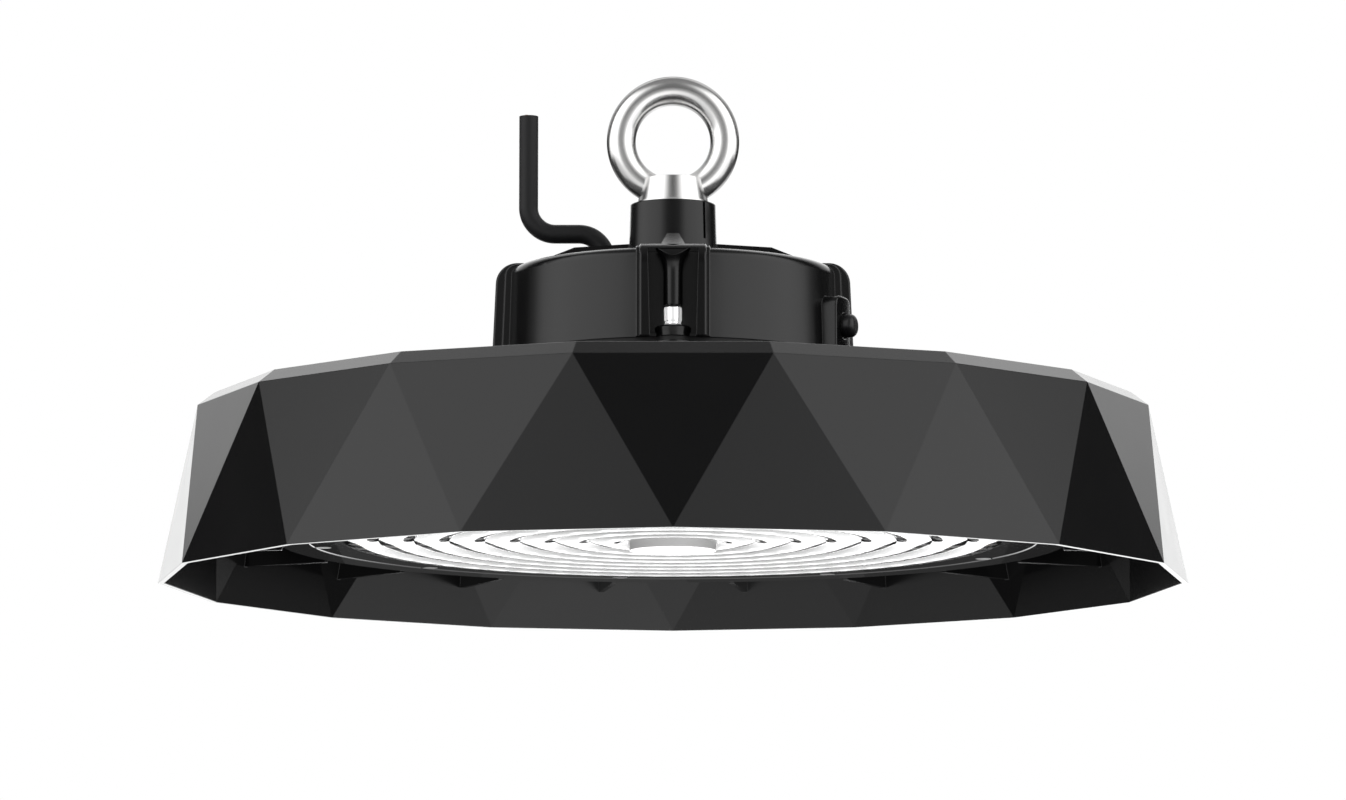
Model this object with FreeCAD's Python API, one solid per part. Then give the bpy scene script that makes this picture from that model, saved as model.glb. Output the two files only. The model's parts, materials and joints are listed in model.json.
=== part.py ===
"""High bay light: a faceted cast heat sink, its lens underneath and its driver housing on top.

Millimetres, +Z up. The origin is the centre of the rim plane, on which the light stands when it is set
down. The front is -Y: a corner of the rim and one of the housing's four screw pockets point that way.
Each function builds one piece, or one group of like pieces, and main writes a STEP file for each.
"""

import FreeCAD
import Part

import math
import os

ORIGIN = FreeCAD.Vector(0, 0, 0)
UP = FreeCAD.Vector(0, 0, 1)

# Faceted skirt
SIDES = 16
RIM_RADIUS = 175.0
SKIRT_DRAFT = 12.2
SHOULDER_HEIGHT = 57.0
CHAMFER_WIDTH = 5.9
CHAMFER_HEIGHT = 4.5
SKIRT_WALL = 2.0

# Plate, fins and hub of the heat sink
PLATE_MARGIN = 1.5
PLATE_UNDERSIDE = 18.1
PLATE_THICKNESS = 5.0
FIN_COUNT = 20
LONG_FIN_THICKNESS = 1.8
SHORT_FIN_THICKNESS = 1.6
SHORT_FIN_START_FROM_HUB = 21.0
FIN_DEPTH_BELOW_PLATE = 4.6
FIN_DROP_AT_HUB = 7.2
FIN_DROP_AT_SKIRT = 2.0
HUB_WALL = 4.0
HUB_HEIGHT = 75.2
LEAD_HOLE_RADIUS = 5.0

# Light board
LED_BOARD_RADIUS = 110.5
LED_BOARD_THICKNESS = 1.6
LED_BOARD_HOLE_RADIUS = 4.0
LED_SIDE = 3.0
LED_HEIGHT = 0.7
LED_PITCH = 12.2
LED_BOARD_MARGIN = 3.0
LED_SCREW_COUNTS = (6, 3)
CONNECTOR_WIDTH = 14.0
CONNECTOR_DEPTH = 8.0
CONNECTOR_HEIGHT = 2.2

# Lens
OPTIC_MARGIN = 1.5
OPTIC_THICKNESS = 1.9
OPTIC_CLEARANCE = 1.5
CENTRE_DISC_RADIUS = 14.7
CENTRE_DISC_SLOPE = 0.6
CENTRE_DISC_CLEARANCE = 1.3
RING_PITCH = 12.0
RING_FIRST_VALLEY = 16.0
RING_BULGE = 1.0
LENS_FLANGE_THICKNESS = 3.0
LENS_STEP_DEPTH = 0.4
LENS_STEP_WIDTH = 4.4
LENS_EDGE_WIDTH = 13.0
LENS_SCREW_RECESS = 1.6
LENS_GASKET_THICKNESS = 1.2
LENS_GASKET_WIDTH = 3.5
LENS_GASKET_MARGIN = 1.5
LENS_SCREW_COUNT = 10
LENS_SCREW_INSET = 4.5

# Driver housing
HOUSING_RADIUS = 57.0
HOUSING_DRAFT = 0.8
HOUSING_WALL = 2.5
HOUSING_DEPTH = 30.6
HOUSING_EDGE_FILLET = 3.4
ROOF_THICKNESS = 2.8
STEP_INSET = 6.2
STEP_HEIGHT = 0.8
STEP_DRAFT = 0.2
HOUSING_GASKET_THICKNESS = 1.4
GASKET_MARGIN = 0.3

# Screw pockets: at the front, back, left and right, a hood of two ribs and a roof with a low border round it
POCKET_COUNT = 4
HOOD_STAND_OUT = 4.4
HOOD_DRAFT = 1.1
HOOD_RISE = 1.2
HOOD_CORNER = 7.3
HOOD_RIB = 3.45
HOOD_EDGE = 0.8
BORDER_WIDTH = 1.2
BORDER_STAND_OUT = 1.2
BORDER_RISE = 0.5
BORDER_EDGE = 0.5
POCKET_HALF_WIDTH = 7.75
POCKET_HALF_WIDTH_AT_TOP = 8.4
POCKET_ROOF_DEPTH = 2.1
POCKET_FLOOR_THICKNESS = 1.4
SCREW_CIRCLE_INSET = 2.0
LUG_RADIUS = 6.1
LUG_DRAFT = 0.3
LUG_THICKNESS = 3.5
LUG_EDGE = 0.5
POST_RADIUS = 3.2
POST_TOP_RADIUS = 5.9
POST_FLARE = 8.0
POST_INSET = 0.3
POST_KEY_HOLE_RADIUS = 1.9
POST_GAP = 0.4

# Screws
HOUSING_SCREW_RADIUS = 2.0
HOUSING_SCREW_HEAD_RADIUS = 2.95
HOUSING_SCREW_HEAD_HEIGHT = 4.9
HOUSING_SCREW_HEAD_EDGE = 0.4
HOUSING_SCREW_ENGAGEMENT = 10.0
HEX_SOCKET_ACROSS_FLATS = 3.0
HEX_SOCKET_DEPTH = 2.5
LOCK_WASHER_RADIUS = 2.7
LOCK_WASHER_THICKNESS = 1.1
FLAT_WASHER_RADIUS = 3.6
FLAT_WASHER_TOP_RADIUS = 2.9
FLAT_WASHER_THICKNESS = 0.8
SMALL_SCREW_RADIUS = 1.5
SMALL_SCREW_HEAD_RADIUS = 2.75
SMALL_SCREW_HEAD_HEIGHT = 1.8
SMALL_SCREW_ENGAGEMENT = 3.5
BOARD_SCREW_ENGAGEMENT = 7.0
LOW_HEAD_HEIGHT = 1.1
THREAD_CLEARANCE = 0.05
HOLE_CLEARANCE = 0.3

# Neck, webs and eye bolt
NECK_FOOT_RADIUS = 15.3
NECK_DRAFT = 0.6
NECK_HEIGHT = 22.8
NECK_EDGE = 0.5
NECK_SLOT_WIDTH = 1.0
NECK_SLOT_DEPTH = 1.6
NECK_SLOT_LENGTH = 13.0
NECK_SLOT_ANGLE = 46.0
WEB_HEIGHT_AT_NECK = 9.1
WEB_FALL_TO_KNEE = 1.2
WEB_LENGTH_TO_KNEE = 18.4
WEB_END_INSET = 3.8
WEB_HALF_WIDTH = 2.0
WEB_SIDE_SLOPE = 0.36
RING_OUTER_RADIUS = 22.7
RING_HOLE_RADIUS = 12.8
RING_DROP = 0.8
RING_SINK = 2.6
COLLAR_RADIUS = 12.0
COLLAR_TOP_RADIUS = 10.5
COLLAR_HEIGHT = 8.9
COLLAR_EDGE = 1.0
SHANK_RADIUS = 5.0
SHANK_TIP = 1.5
SHANK_CHAMFER = 1.0
EYE_WASHER_RADIUS = 10.0
EYE_WASHER_THICKNESS = 2.0
EYE_NUT_ACROSS_FLATS = 17.0
EYE_NUT_HEIGHT = 8.0

# Vent plug
VENT_ANGLE = 70.0
VENT_PAD_STAND_OUT = 4.5
VENT_PAD_WIDTH = 15.0
VENT_PAD_RISE = 10.0
VENT_PAD_CORNER = 4.0
VENT_PAD_ROOT = 1.0
VENT_PAD_EDGE = 0.6
SPOT_FACE_DEPTH = 0.25
SPOT_FACE_MARGIN = 0.6
VENT_RISE = 8.6
VENT_HEAD_RADIUS = 3.95
VENT_HEAD_HEIGHT = 3.6
VENT_HEAD_ROUNDING = 2.0
VENT_STEM_RADIUS = 2.5
VENT_STEM_LENGTH = 13.0
VENT_SEAL_THICKNESS = 0.8

# Cord, gland and leads
CORD_RADIUS = 3.3
GLAND_STEM_RADIUS = 7.9
GLAND_STEM_DEPTH = 8.0
GLAND_FLANGE_ACROSS_FLATS = 19.0
GLAND_FLANGE_THICKNESS = 2.4
GLAND_SPIGOT_RADIUS = 7.0
GLAND_SPIGOT_HEIGHT = 2.4
GLAND_CAP_RADIUS = 8.8
GLAND_CAP_TOP_RADIUS = 6.0
GLAND_CAP_HEIGHT = 4.2
GLAND_SEAL_RADIUS = 5.2
GLAND_NUT_ACROSS_FLATS = 20.0
GLAND_NUT_HEIGHT = 3.5
CORD_ROUTE = (
    (-23.2, 20.0, 102.0),
    (-23.2, 20.0, 117.65),
    (-28.65, 20.0, 123.1),
    (-44.45, 20.0, 123.1),
    (-49.9, 20.0, 128.55),
    (-49.9, 20.0, 164.3),
)
CORE_RADIUS = 1.1
CORE_SPREAD = 1.75
CORE_COUNT = 3
CORE_FIRST_ANGLE = 210.0
CORE_STRAIGHT_SHARE = 0.25
LEAD_RADIUS = 0.9
LEAD_HALF_SPACING = 1.6
LEAD_HEIGHT_ABOVE_BOARD = 4.0

# Driver in its cup
CUP_MARGIN = 0.9
CUP_WALL = 1.5
CUP_RECESS = 2.7
CUP_HOLE_RADIUS = 8.0
STANDOFF_HEIGHT = 19.5
STANDOFF_RADIUS = 3.4
STANDOFF_INSET = 7.3
BOARD_CLEARANCE = 0.5
DRIVER_BOARD_THICKNESS = 1.6
DRIVER_BOARD_HOLE_RADIUS = 5.0
GROMMET_FLANGE_RADIUS = 7.0
GROMMET_FLANGE_THICKNESS = 1.5

# Parts on the driver board: width along X, depth along Y and height. Each stands at an angle from +X,
# its centre at an inset from the board's edge.
CORE_BLOCK = (30.0, 10.0, 28.0)
CORE_YOKE = 4.5
CORE_WINDOW = 6.5
WINDING_WALL = 5.0
WINDING_GAP = 0.4
WINDING_CORNER = 3.0
TRANSFORMER_ANGLE = 40.0
TRANSFORMER_INSET = 24.0
CAPACITOR_RADIUS = 8.0
CAPACITOR_HEIGHT = 30.0
CAPACITOR_ANGLES = (178.0, 218.0)
CAPACITOR_INSETS = (13.0, 17.0)
CHOKE_RADIUS = 9.0
CHOKE_HOLE_RADIUS = 3.6
CHOKE_HEIGHT = 6.4
CHOKE_CORNER = 1.8
CHOKE_ANGLE = 265.0
CHOKE_INSET = 12.5
FILM_CAPACITOR_SIZE = (16.0, 7.0, 14.0)
FILM_CAPACITOR_ANGLES = (315.0, 340.0)
FILM_CAPACITOR_INSETS = (15.0, 24.0)
SUPPLY_TERMINAL_SIZE = (15.0, 9.0, 12.0)
SUPPLY_TERMINAL_ANGLE = 134.0
SUPPLY_TERMINAL_INSET = 17.5
OUTPUT_TERMINAL_SIZE = (8.0, 10.0, 9.0)
OUTPUT_TERMINAL_OFFSET = 11.0
HEAT_PLATE_SIZE = (22.0, 2.5, 28.0)
HEAT_PLATE_ANGLE = 90.0
HEAT_PLATE_INSET = 8.0
TRANSISTOR_SIZE = (9.0, 4.5, 15.0)
TRANSISTOR_SPACING = 11.0
RECTIFIER_SIZE = (4.0, 15.0, 11.0)
RECTIFIER_ANGLE = 354.0
RECTIFIER_INSET = 7.0

# Radii that follow from the sizes above
SHOULDER_RADIUS = RIM_RADIUS - SKIRT_DRAFT
CROWN_RADIUS = SHOULDER_RADIUS - CHAMFER_WIDTH
OPTIC_RADIUS = LED_BOARD_RADIUS + OPTIC_MARGIN
LENS_GASKET_INNER = OPTIC_RADIUS + LENS_GASKET_MARGIN
LENS_GASKET_OUTER = LENS_GASKET_INNER + LENS_GASKET_WIDTH
LENS_SCREW_CIRCLE = LENS_GASKET_OUTER + LENS_SCREW_INSET
LENS_STEP_RADIUS = LENS_SCREW_CIRCLE + LENS_STEP_WIDTH
LENS_RADIUS = LENS_SCREW_CIRCLE + LENS_EDGE_WIDTH
PLATE_RADIUS = LENS_RADIUS + PLATE_MARGIN
HUB_RADIUS = HOUSING_RADIUS
SHORT_FIN_START = HUB_RADIUS + SHORT_FIN_START_FROM_HUB
SCREW_CIRCLE = HOUSING_RADIUS - SCREW_CIRCLE_INSET
HOUSING_TOP_RADIUS = HOUSING_RADIUS - HOUSING_DRAFT
STEP_RADIUS = HOUSING_TOP_RADIUS - STEP_INSET
WEB_END_RADIUS = HOUSING_TOP_RADIUS - WEB_END_INSET
HOOD_REACH = HOUSING_RADIUS + HOOD_STAND_OUT
HOOD_REACH_AT_TOP = HOOD_REACH - HOOD_DRAFT
HOOD_HALF_WIDTH = POCKET_HALF_WIDTH + HOOD_RIB
HOOD_INSIDE = HOUSING_RADIUS - HOOD_CORNER - HOUSING_EDGE_FILLET
POCKET_BACK = SCREW_CIRCLE - POST_TOP_RADIUS - POST_GAP
LUG_FOOT_RADIUS = LUG_RADIUS - LUG_DRAFT
VENT_PAD_REACH = HOUSING_RADIUS + VENT_PAD_STAND_OUT
NECK_RADIUS = NECK_FOOT_RADIUS - NECK_DRAFT
WEB_KNEE_RADIUS = NECK_FOOT_RADIUS + WEB_LENGTH_TO_KNEE
CUP_RADIUS = SCREW_CIRCLE - LUG_FOOT_RADIUS - CUP_MARGIN
STANDOFF_CIRCLE = CUP_RADIUS - STANDOFF_INSET
DRIVER_BOARD_RADIUS = CUP_RADIUS - CUP_WALL - BOARD_CLEARANCE
LED_FIRST_RADIUS = RING_FIRST_VALLEY + RING_PITCH / 2
LED_RING_COUNT = 1 + int((LED_BOARD_RADIUS - LED_BOARD_MARGIN - LED_FIRST_RADIUS) / RING_PITCH)
LED_RING_RADII = [LED_FIRST_RADIUS + RING_PITCH * k for k in range(LED_RING_COUNT)]
LED_SCREW_CIRCLES = [RING_FIRST_VALLEY + RING_PITCH * k for k in (LED_RING_COUNT - 1, 2)]

# Heights that follow from the sizes above
CROWN_HEIGHT = SHOULDER_HEIGHT + CHAMFER_HEIGHT
PLATE_TOP = PLATE_UNDERSIDE + PLATE_THICKNESS
FIN_FLOOR = PLATE_UNDERSIDE - FIN_DEPTH_BELOW_PLATE
FIN_TOP_AT_HUB = HUB_HEIGHT - FIN_DROP_AT_HUB
FIN_TOP_AT_SKIRT = SHOULDER_HEIGHT - FIN_DROP_AT_SKIRT
LED_BOARD_BOTTOM = PLATE_UNDERSIDE - LED_BOARD_THICKNESS
FLANGE_TOP = PLATE_UNDERSIDE - LENS_GASKET_THICKNESS
FLANGE_BOTTOM = FLANGE_TOP - LENS_FLANGE_THICKNESS
OPTIC_CEILING = LED_BOARD_BOTTOM - OPTIC_CLEARANCE
OPTIC_FLOOR = OPTIC_CEILING - OPTIC_THICKNESS
CENTRE_CEILING = LED_BOARD_BOTTOM - CONNECTOR_HEIGHT - CENTRE_DISC_CLEARANCE
CENTRE_FLOOR = CENTRE_CEILING - OPTIC_THICKNESS
HOUSING_BOTTOM = HUB_HEIGHT + HOUSING_GASKET_THICKNESS
HOUSING_TOP = HOUSING_BOTTOM + HOUSING_DEPTH
ROOF_UNDERSIDE = HOUSING_TOP - ROOF_THICKNESS
STEP_TOP = HOUSING_TOP + STEP_HEIGHT
HOOD_TOP = HOUSING_TOP + HOOD_RISE
POCKET_ROOF = HOOD_TOP - POCKET_ROOF_DEPTH
LUG_TOP = HOUSING_BOTTOM + LUG_THICKNESS
LENS_SCREW_SEAT = FLANGE_BOTTOM + LENS_STEP_DEPTH + LENS_SCREW_RECESS
SCREW_HEAD_SEAT = LUG_TOP + FLAT_WASHER_THICKNESS + LOCK_WASHER_THICKNESS
SCREW_HEAD_TOP = SCREW_HEAD_SEAT + HOUSING_SCREW_HEAD_HEIGHT
POST_BOTTOM = SCREW_HEAD_TOP + POST_GAP
NECK_TOP = HOUSING_TOP + NECK_HEIGHT
WEB_TOP_AT_NECK = HOUSING_TOP + WEB_HEIGHT_AT_NECK
WEB_KNEE_HEIGHT = WEB_TOP_AT_NECK - WEB_FALL_TO_KNEE
RING_CENTRE = NECK_TOP + RING_OUTER_RADIUS - RING_DROP
VENT_HEIGHT = HOUSING_BOTTOM + VENT_RISE
VENT_PAD_TOP = VENT_HEIGHT + VENT_PAD_RISE
CUP_FLOOR = PLATE_TOP + CUP_WALL
CUP_TOP = HUB_HEIGHT - CUP_RECESS
BOARD_BOTTOM = CUP_FLOOR + STANDOFF_HEIGHT
BOARD_TOP = BOARD_BOTTOM + DRIVER_BOARD_THICKNESS
GLAND_X, GLAND_Y, CORD_START = CORD_ROUTE[0]
GLAND_FLANGE_TOP = STEP_TOP + GLAND_FLANGE_THICKNESS
GLAND_TOP = GLAND_FLANGE_TOP + GLAND_CAP_HEIGHT


def at_angle(shape, degrees):
    """A copy turned about the light's axis, anticlockwise seen from above."""
    turned_copy = shape.copy()
    turned_copy.rotate(ORIGIN, UP, degrees)
    return turned_copy


def around(shape, count, first=0.0):
    """Evenly spaced copies about the light's axis."""
    return [at_angle(shape, first + 360.0 * k / count) for k in range(count)]


def on_board(degrees, inset):
    """A place on the driver board, at an angle from +X and an inset from the board's edge."""
    distance = DRIVER_BOARD_RADIUS - inset
    return (distance * math.cos(math.radians(degrees)), distance * math.sin(math.radians(degrees)))


def fused(shapes):
    """One solid from shapes that overlap, with its split faces merged."""
    return shapes[0].multiFuse(shapes[1:]).removeSplitter()


def outline_face(outline, place):
    """A flat face inside an outline. A round stretch of it is a list of its start, middle and end."""
    stretches = [item if isinstance(item, list) else [item] for item in outline]
    edges = []
    last = place(*stretches[-1][-1])
    for stretch in stretches:
        points = [place(*point) for point in stretch]
        if not last.isEqual(points[0], 1e-6):
            edges.append(Part.makeLine(last, points[0]))
        if len(points) == 3:
            edges.append(Part.Arc(*points).toShape())
        last = points[-1]
    return Part.Face(Part.Wire(edges))


def turned(outline):
    """A solid turned about Z from a closed (radius, height) outline."""
    face = outline_face(outline, lambda radius, height: FreeCAD.Vector(radius, 0, height))
    return face.revolve(ORIGIN, UP, 360)


def cylinder(radius, low, high, x=0.0, y=0.0):
    """An upright cylinder between two heights."""
    return Part.makeCylinder(radius, high - low, FreeCAD.Vector(x, y, low))


def tube(inner, outer, low, high, x=0.0, y=0.0):
    """An upright ring between two heights."""
    return cylinder(outer, low, high, x, y).cut(cylinder(inner, low, high, x, y))


def block(size, place, low):
    """An upright box centred on a place, standing on a height."""
    width, depth, height = size
    corner = FreeCAD.Vector(place[0] - width / 2, place[1] - depth / 2, low)
    return Part.makeBox(width, depth, height, corner)


def hexagon(across_flats, low, high, x=0.0, y=0.0):
    """An upright hexagonal bar between two heights."""
    corner = across_flats / math.sqrt(3)
    points = [
        FreeCAD.Vector(
            x + corner * math.cos(math.radians(60 * k)),
            y + corner * math.sin(math.radians(60 * k)),
            low,
        )
        for k in range(6)
    ]
    face = Part.Face(Part.makePolygon(points + points[:1]))
    return face.extrude(FreeCAD.Vector(0, 0, high - low))


def front_prism(outline, near, far):
    """A closed (x, height) outline extruded backwards from one distance in front of the axis to another."""
    face = outline_face(outline, lambda x, height: FreeCAD.Vector(x, -far, height))
    return face.extrude(FreeCAD.Vector(0, far - near, 0))


def side_prism(outline, half_width):
    """A closed (distance in front of the axis, height) outline extruded across the front."""
    face = outline_face(outline, lambda reach, height: FreeCAD.Vector(-half_width, -reach, height))
    return face.extrude(FreeCAD.Vector(2 * half_width, 0, 0))


def corner_arc(centre, radius, start, end):
    """A round stretch of an outline, from one angle in degrees to another."""
    angles = [math.radians(angle) for angle in (start, (start + end) / 2, end)]
    return [[(centre[0] + radius * math.cos(a), centre[1] + radius * math.sin(a)) for a in angles]]


def swept_tube(points, radius, bend_share=0.45):
    """A round tube along straight runs joined by tangent arcs. Gives the solid, its length and its radii."""
    route = [FreeCAD.Vector(*point) for point in points]
    edges = []
    radii = []
    start = route[0]
    for before, corner, after in zip(route, route[1:], route[2:]):
        inward = (corner - before).normalize()
        outward = (after - corner).normalize()
        turn = inward.getAngle(outward)
        setback = bend_share * min((corner - before).Length, (after - corner).Length)
        bend_radius = setback / math.tan(turn / 2)
        arc_start = corner - inward * setback
        arc_end = corner + outward * setback
        middle_direction = (outward - inward).normalize()
        middle = corner + middle_direction * (bend_radius / math.cos(turn / 2) - bend_radius)
        edges.append(Part.makeLine(start, arc_start))
        edges.append(Part.Arc(arc_start, middle, arc_end).toShape())
        radii.append(round(bend_radius, 2))
        start = arc_end
    edges.append(Part.makeLine(start, route[-1]))
    path = Part.Wire(edges)
    direction = route[1] - route[0]
    section = Part.Wire(Part.makeCircle(radius, route[0], direction))
    return path.makePipeShell([section], True, False), path.Length, radii


def skirt_levels(inset):
    """Corner radius and height of the rim, shoulder and crown, with the facets moved inwards by the inset."""
    wall_slope = (RIM_RADIUS - SHOULDER_RADIUS) / SHOULDER_HEIGHT
    chamfer_slope = (SHOULDER_RADIUS - CROWN_RADIUS) / (CROWN_HEIGHT - SHOULDER_HEIGHT)
    rim = RIM_RADIUS - inset * math.hypot(1, wall_slope)
    crown = CROWN_RADIUS - inset * math.hypot(1, chamfer_slope)
    shoulder_height = (crown - rim + CROWN_HEIGHT * chamfer_slope) / (chamfer_slope - wall_slope)
    return (rim, 0.0), (rim - wall_slope * shoulder_height, shoulder_height), (crown, CROWN_HEIGHT)


def corner_ring(level, half_turn):
    """The corners of one level of the skirt. A half turn of 0.5 puts them between the rim's corners."""
    radius, height = level
    angles = [2 * math.pi * (k + half_turn) / SIDES for k in range(SIDES)]
    return [FreeCAD.Vector(radius * math.sin(a), -radius * math.cos(a), height) for a in angles]


def faceted_body(inset=0.0):
    """The solid that the skirt's facets enclose, after every facet has moved inwards by the inset."""
    rim, shoulder, crown = skirt_levels(inset)
    low = corner_ring(rim, 0.0)
    middle = corner_ring(shoulder, 0.5)
    high = corner_ring(crown, 0.5)
    outlines = [low, high]
    for k in range(SIDES):
        following = (k + 1) % SIDES
        outlines.append([low[k], low[following], middle[k]])
        outlines.append([low[following], middle[following], middle[k]])
        outlines.append([middle[k], middle[following], high[following], high[k]])
    faces = [Part.Face(Part.makePolygon(points + points[:1])) for points in outlines]
    return Part.Solid(Part.makeShell(faces))


def long_fin():
    """A fin from the hub to beyond the skirt, deeper outside the plate's edge."""
    outline = [
        (HUB_RADIUS - HUB_WALL / 2, FIN_TOP_AT_HUB),
        (HUB_RADIUS - HUB_WALL / 2, PLATE_TOP - PLATE_THICKNESS / 2),
        (PLATE_RADIUS - PLATE_THICKNESS / 2, PLATE_TOP - PLATE_THICKNESS / 2),
        (PLATE_RADIUS, FIN_FLOOR),
        (RIM_RADIUS, FIN_FLOOR),
        (RIM_RADIUS, FIN_TOP_AT_SKIRT),
        (CROWN_RADIUS, FIN_TOP_AT_SKIRT),
    ]
    return side_prism(outline, LONG_FIN_THICKNESS / 2)


def short_fin():
    """A fin between two long ones, on the plate only."""
    slope = (FIN_TOP_AT_HUB - FIN_TOP_AT_SKIRT) / (CROWN_RADIUS - HUB_RADIUS)
    end = PLATE_RADIUS - PLATE_THICKNESS / 2
    outline = [
        (SHORT_FIN_START, FIN_TOP_AT_HUB - slope * (SHORT_FIN_START - HUB_RADIUS)),
        (SHORT_FIN_START, PLATE_TOP - PLATE_THICKNESS / 2),
        (end, PLATE_TOP - PLATE_THICKNESS / 2),
        (end, FIN_TOP_AT_HUB - slope * (end - HUB_RADIUS)),
    ]
    return side_prism(outline, SHORT_FIN_THICKNESS / 2)


def heat_sink():
    """One casting: plate, hub with its four screw bosses, faceted skirt, and fins that end in its wall."""
    skirt = faceted_body().cut(faceted_body(SKIRT_WALL))
    within = faceted_body(SKIRT_WALL / 2)
    plate = cylinder(PLATE_RADIUS, PLATE_UNDERSIDE, PLATE_TOP)
    hub = tube(HUB_RADIUS - HUB_WALL, HUB_RADIUS, PLATE_TOP - PLATE_THICKNESS / 2, HUB_HEIGHT)
    boss = cylinder(LUG_FOOT_RADIUS, PLATE_TOP - PLATE_THICKNESS / 2, HUB_HEIGHT, 0.0, -SCREW_CIRCLE)
    half_pitch = 180.0 / FIN_COUNT
    pieces = [plate, hub, skirt]
    pieces += around(boss, POCKET_COUNT)
    pieces += [fin.common(within) for fin in around(long_fin(), FIN_COUNT, half_pitch)]
    pieces += around(short_fin(), FIN_COUNT)
    casting = fused(pieces)

    thread = HOUSING_SCREW_RADIUS + THREAD_CLEARANCE
    thread_floor = HUB_HEIGHT - HOUSING_SCREW_ENGAGEMENT - HOUSING_SCREW_RADIUS
    holes = around(cylinder(thread, thread_floor, HUB_HEIGHT, 0.0, -SCREW_CIRCLE), POCKET_COUNT)
    small_thread = SMALL_SCREW_RADIUS + THREAD_CLEARANCE
    blind_top = PLATE_UNDERSIDE + SMALL_SCREW_ENGAGEMENT + THREAD_CLEARANCE
    lens_hole = cylinder(small_thread, PLATE_UNDERSIDE, blind_top, 0.0, -LENS_SCREW_CIRCLE)
    holes += around(lens_hole, LENS_SCREW_COUNT, half_pitch)
    for circle, count in zip(LED_SCREW_CIRCLES, LED_SCREW_COUNTS):
        hole = cylinder(small_thread, PLATE_UNDERSIDE, blind_top, 0.0, -circle)
        holes += around(hole, count)
    holes.append(cylinder(LEAD_HOLE_RADIUS, PLATE_UNDERSIDE, PLATE_TOP))
    return casting.cut(Part.makeCompound(holes))


def lens_profile():
    """Section of the lens from its centre to its rim: underside with its round rings, then the top side."""
    valley = OPTIC_FLOOR + RING_BULGE
    outline = [(0.0, CENTRE_FLOOR), (CENTRE_DISC_RADIUS, CENTRE_FLOOR)]
    outline.append((CENTRE_DISC_RADIUS + CENTRE_DISC_SLOPE, valley))
    for radius in LED_RING_RADII:
        inner = (radius - RING_PITCH / 2, valley)
        outer = (radius + RING_PITCH / 2, valley)
        outline.append([inner, (radius, OPTIC_FLOOR), outer])
    step_bottom = FLANGE_BOTTOM + LENS_STEP_DEPTH
    pocket_radius = LED_BOARD_RADIUS + HOLE_CLEARANCE
    centre_pocket = CENTRE_DISC_RADIUS - OPTIC_THICKNESS
    outline += [
        (LED_RING_RADII[-1] + RING_PITCH / 2, step_bottom),
        (LENS_STEP_RADIUS, step_bottom),
        (LENS_STEP_RADIUS, FLANGE_BOTTOM),
        (LENS_RADIUS, FLANGE_BOTTOM),
        (LENS_RADIUS, FLANGE_TOP),
        (pocket_radius, FLANGE_TOP),
        (pocket_radius, OPTIC_CEILING),
        (centre_pocket, OPTIC_CEILING),
        (centre_pocket, CENTRE_CEILING),
        (0.0, CENTRE_CEILING),
    ]
    return outline


def lens():
    """Clear moulded lens: a round ring under each ring of lights, a centre disc, and a stepped flange."""
    y = -LENS_SCREW_CIRCLE
    hole = cylinder(SMALL_SCREW_RADIUS + HOLE_CLEARANCE, 0.0, PLATE_UNDERSIDE, 0.0, y)
    recess = cylinder(SMALL_SCREW_HEAD_RADIUS + HOLE_CLEARANCE, 0.0, LENS_SCREW_SEAT, 0.0, y)
    holes = around(hole.fuse(recess), LENS_SCREW_COUNT, 180.0 / FIN_COUNT)
    return turned(lens_profile()).cut(Part.makeCompound(holes))


def lens_gasket():
    """Flat rubber ring between the lens flange and the plate."""
    return tube(LENS_GASKET_INNER, LENS_GASKET_OUTER, FLANGE_TOP, PLATE_UNDERSIDE)


def small_screw(seat, head_height, engagement_end, distance):
    """A screw driven upwards: its head hangs below its seat, at a distance in front of the axis."""
    screw = turned(
        [
            (0.0, seat - head_height),
            (SMALL_SCREW_HEAD_RADIUS, seat - head_height),
            (SMALL_SCREW_HEAD_RADIUS, seat),
            (SMALL_SCREW_RADIUS, seat),
            (SMALL_SCREW_RADIUS, engagement_end),
            (0.0, engagement_end),
        ]
    )
    screw.translate(FreeCAD.Vector(0, -distance, 0))
    return screw


def lens_screws():
    """The screws sunk in the lens flange, one under every second long fin."""
    screw = small_screw(
        LENS_SCREW_SEAT,
        SMALL_SCREW_HEAD_HEIGHT,
        PLATE_UNDERSIDE + SMALL_SCREW_ENGAGEMENT,
        LENS_SCREW_CIRCLE,
    )
    return Part.makeCompound(around(screw, LENS_SCREW_COUNT, 180.0 / FIN_COUNT))


def led_board():
    """Aluminium circuit board against the plate."""
    board = tube(LED_BOARD_HOLE_RADIUS, LED_BOARD_RADIUS, LED_BOARD_BOTTOM, PLATE_UNDERSIDE)
    holes = []
    for circle, count in zip(LED_SCREW_CIRCLES, LED_SCREW_COUNTS):
        hole = cylinder(
            SMALL_SCREW_RADIUS + HOLE_CLEARANCE, LED_BOARD_BOTTOM, PLATE_UNDERSIDE, 0.0, -circle
        )
        holes += around(hole, count)
    return board.cut(Part.makeCompound(holes))


def led_board_screws():
    """Low-headed screws that hold the circuit board to the plate."""
    screws = []
    for circle, count in zip(LED_SCREW_CIRCLES, LED_SCREW_COUNTS):
        screw = small_screw(
            LED_BOARD_BOTTOM, LOW_HEAD_HEIGHT, PLATE_UNDERSIDE + SMALL_SCREW_ENGAGEMENT, circle
        )
        screws += around(screw, count)
    return Part.makeCompound(screws)


def leds():
    """Light-emitting chips in rings, one ring over each round ring of the lens."""
    chips = []
    for radius in LED_RING_RADII:
        count = int(2 * math.pi * radius / LED_PITCH)
        chip = block((LED_SIDE, LED_SIDE, LED_HEIGHT), (0.0, -radius), LED_BOARD_BOTTOM - LED_HEIGHT)
        chips += around(chip, count)
    return Part.makeCompound(chips)


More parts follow.
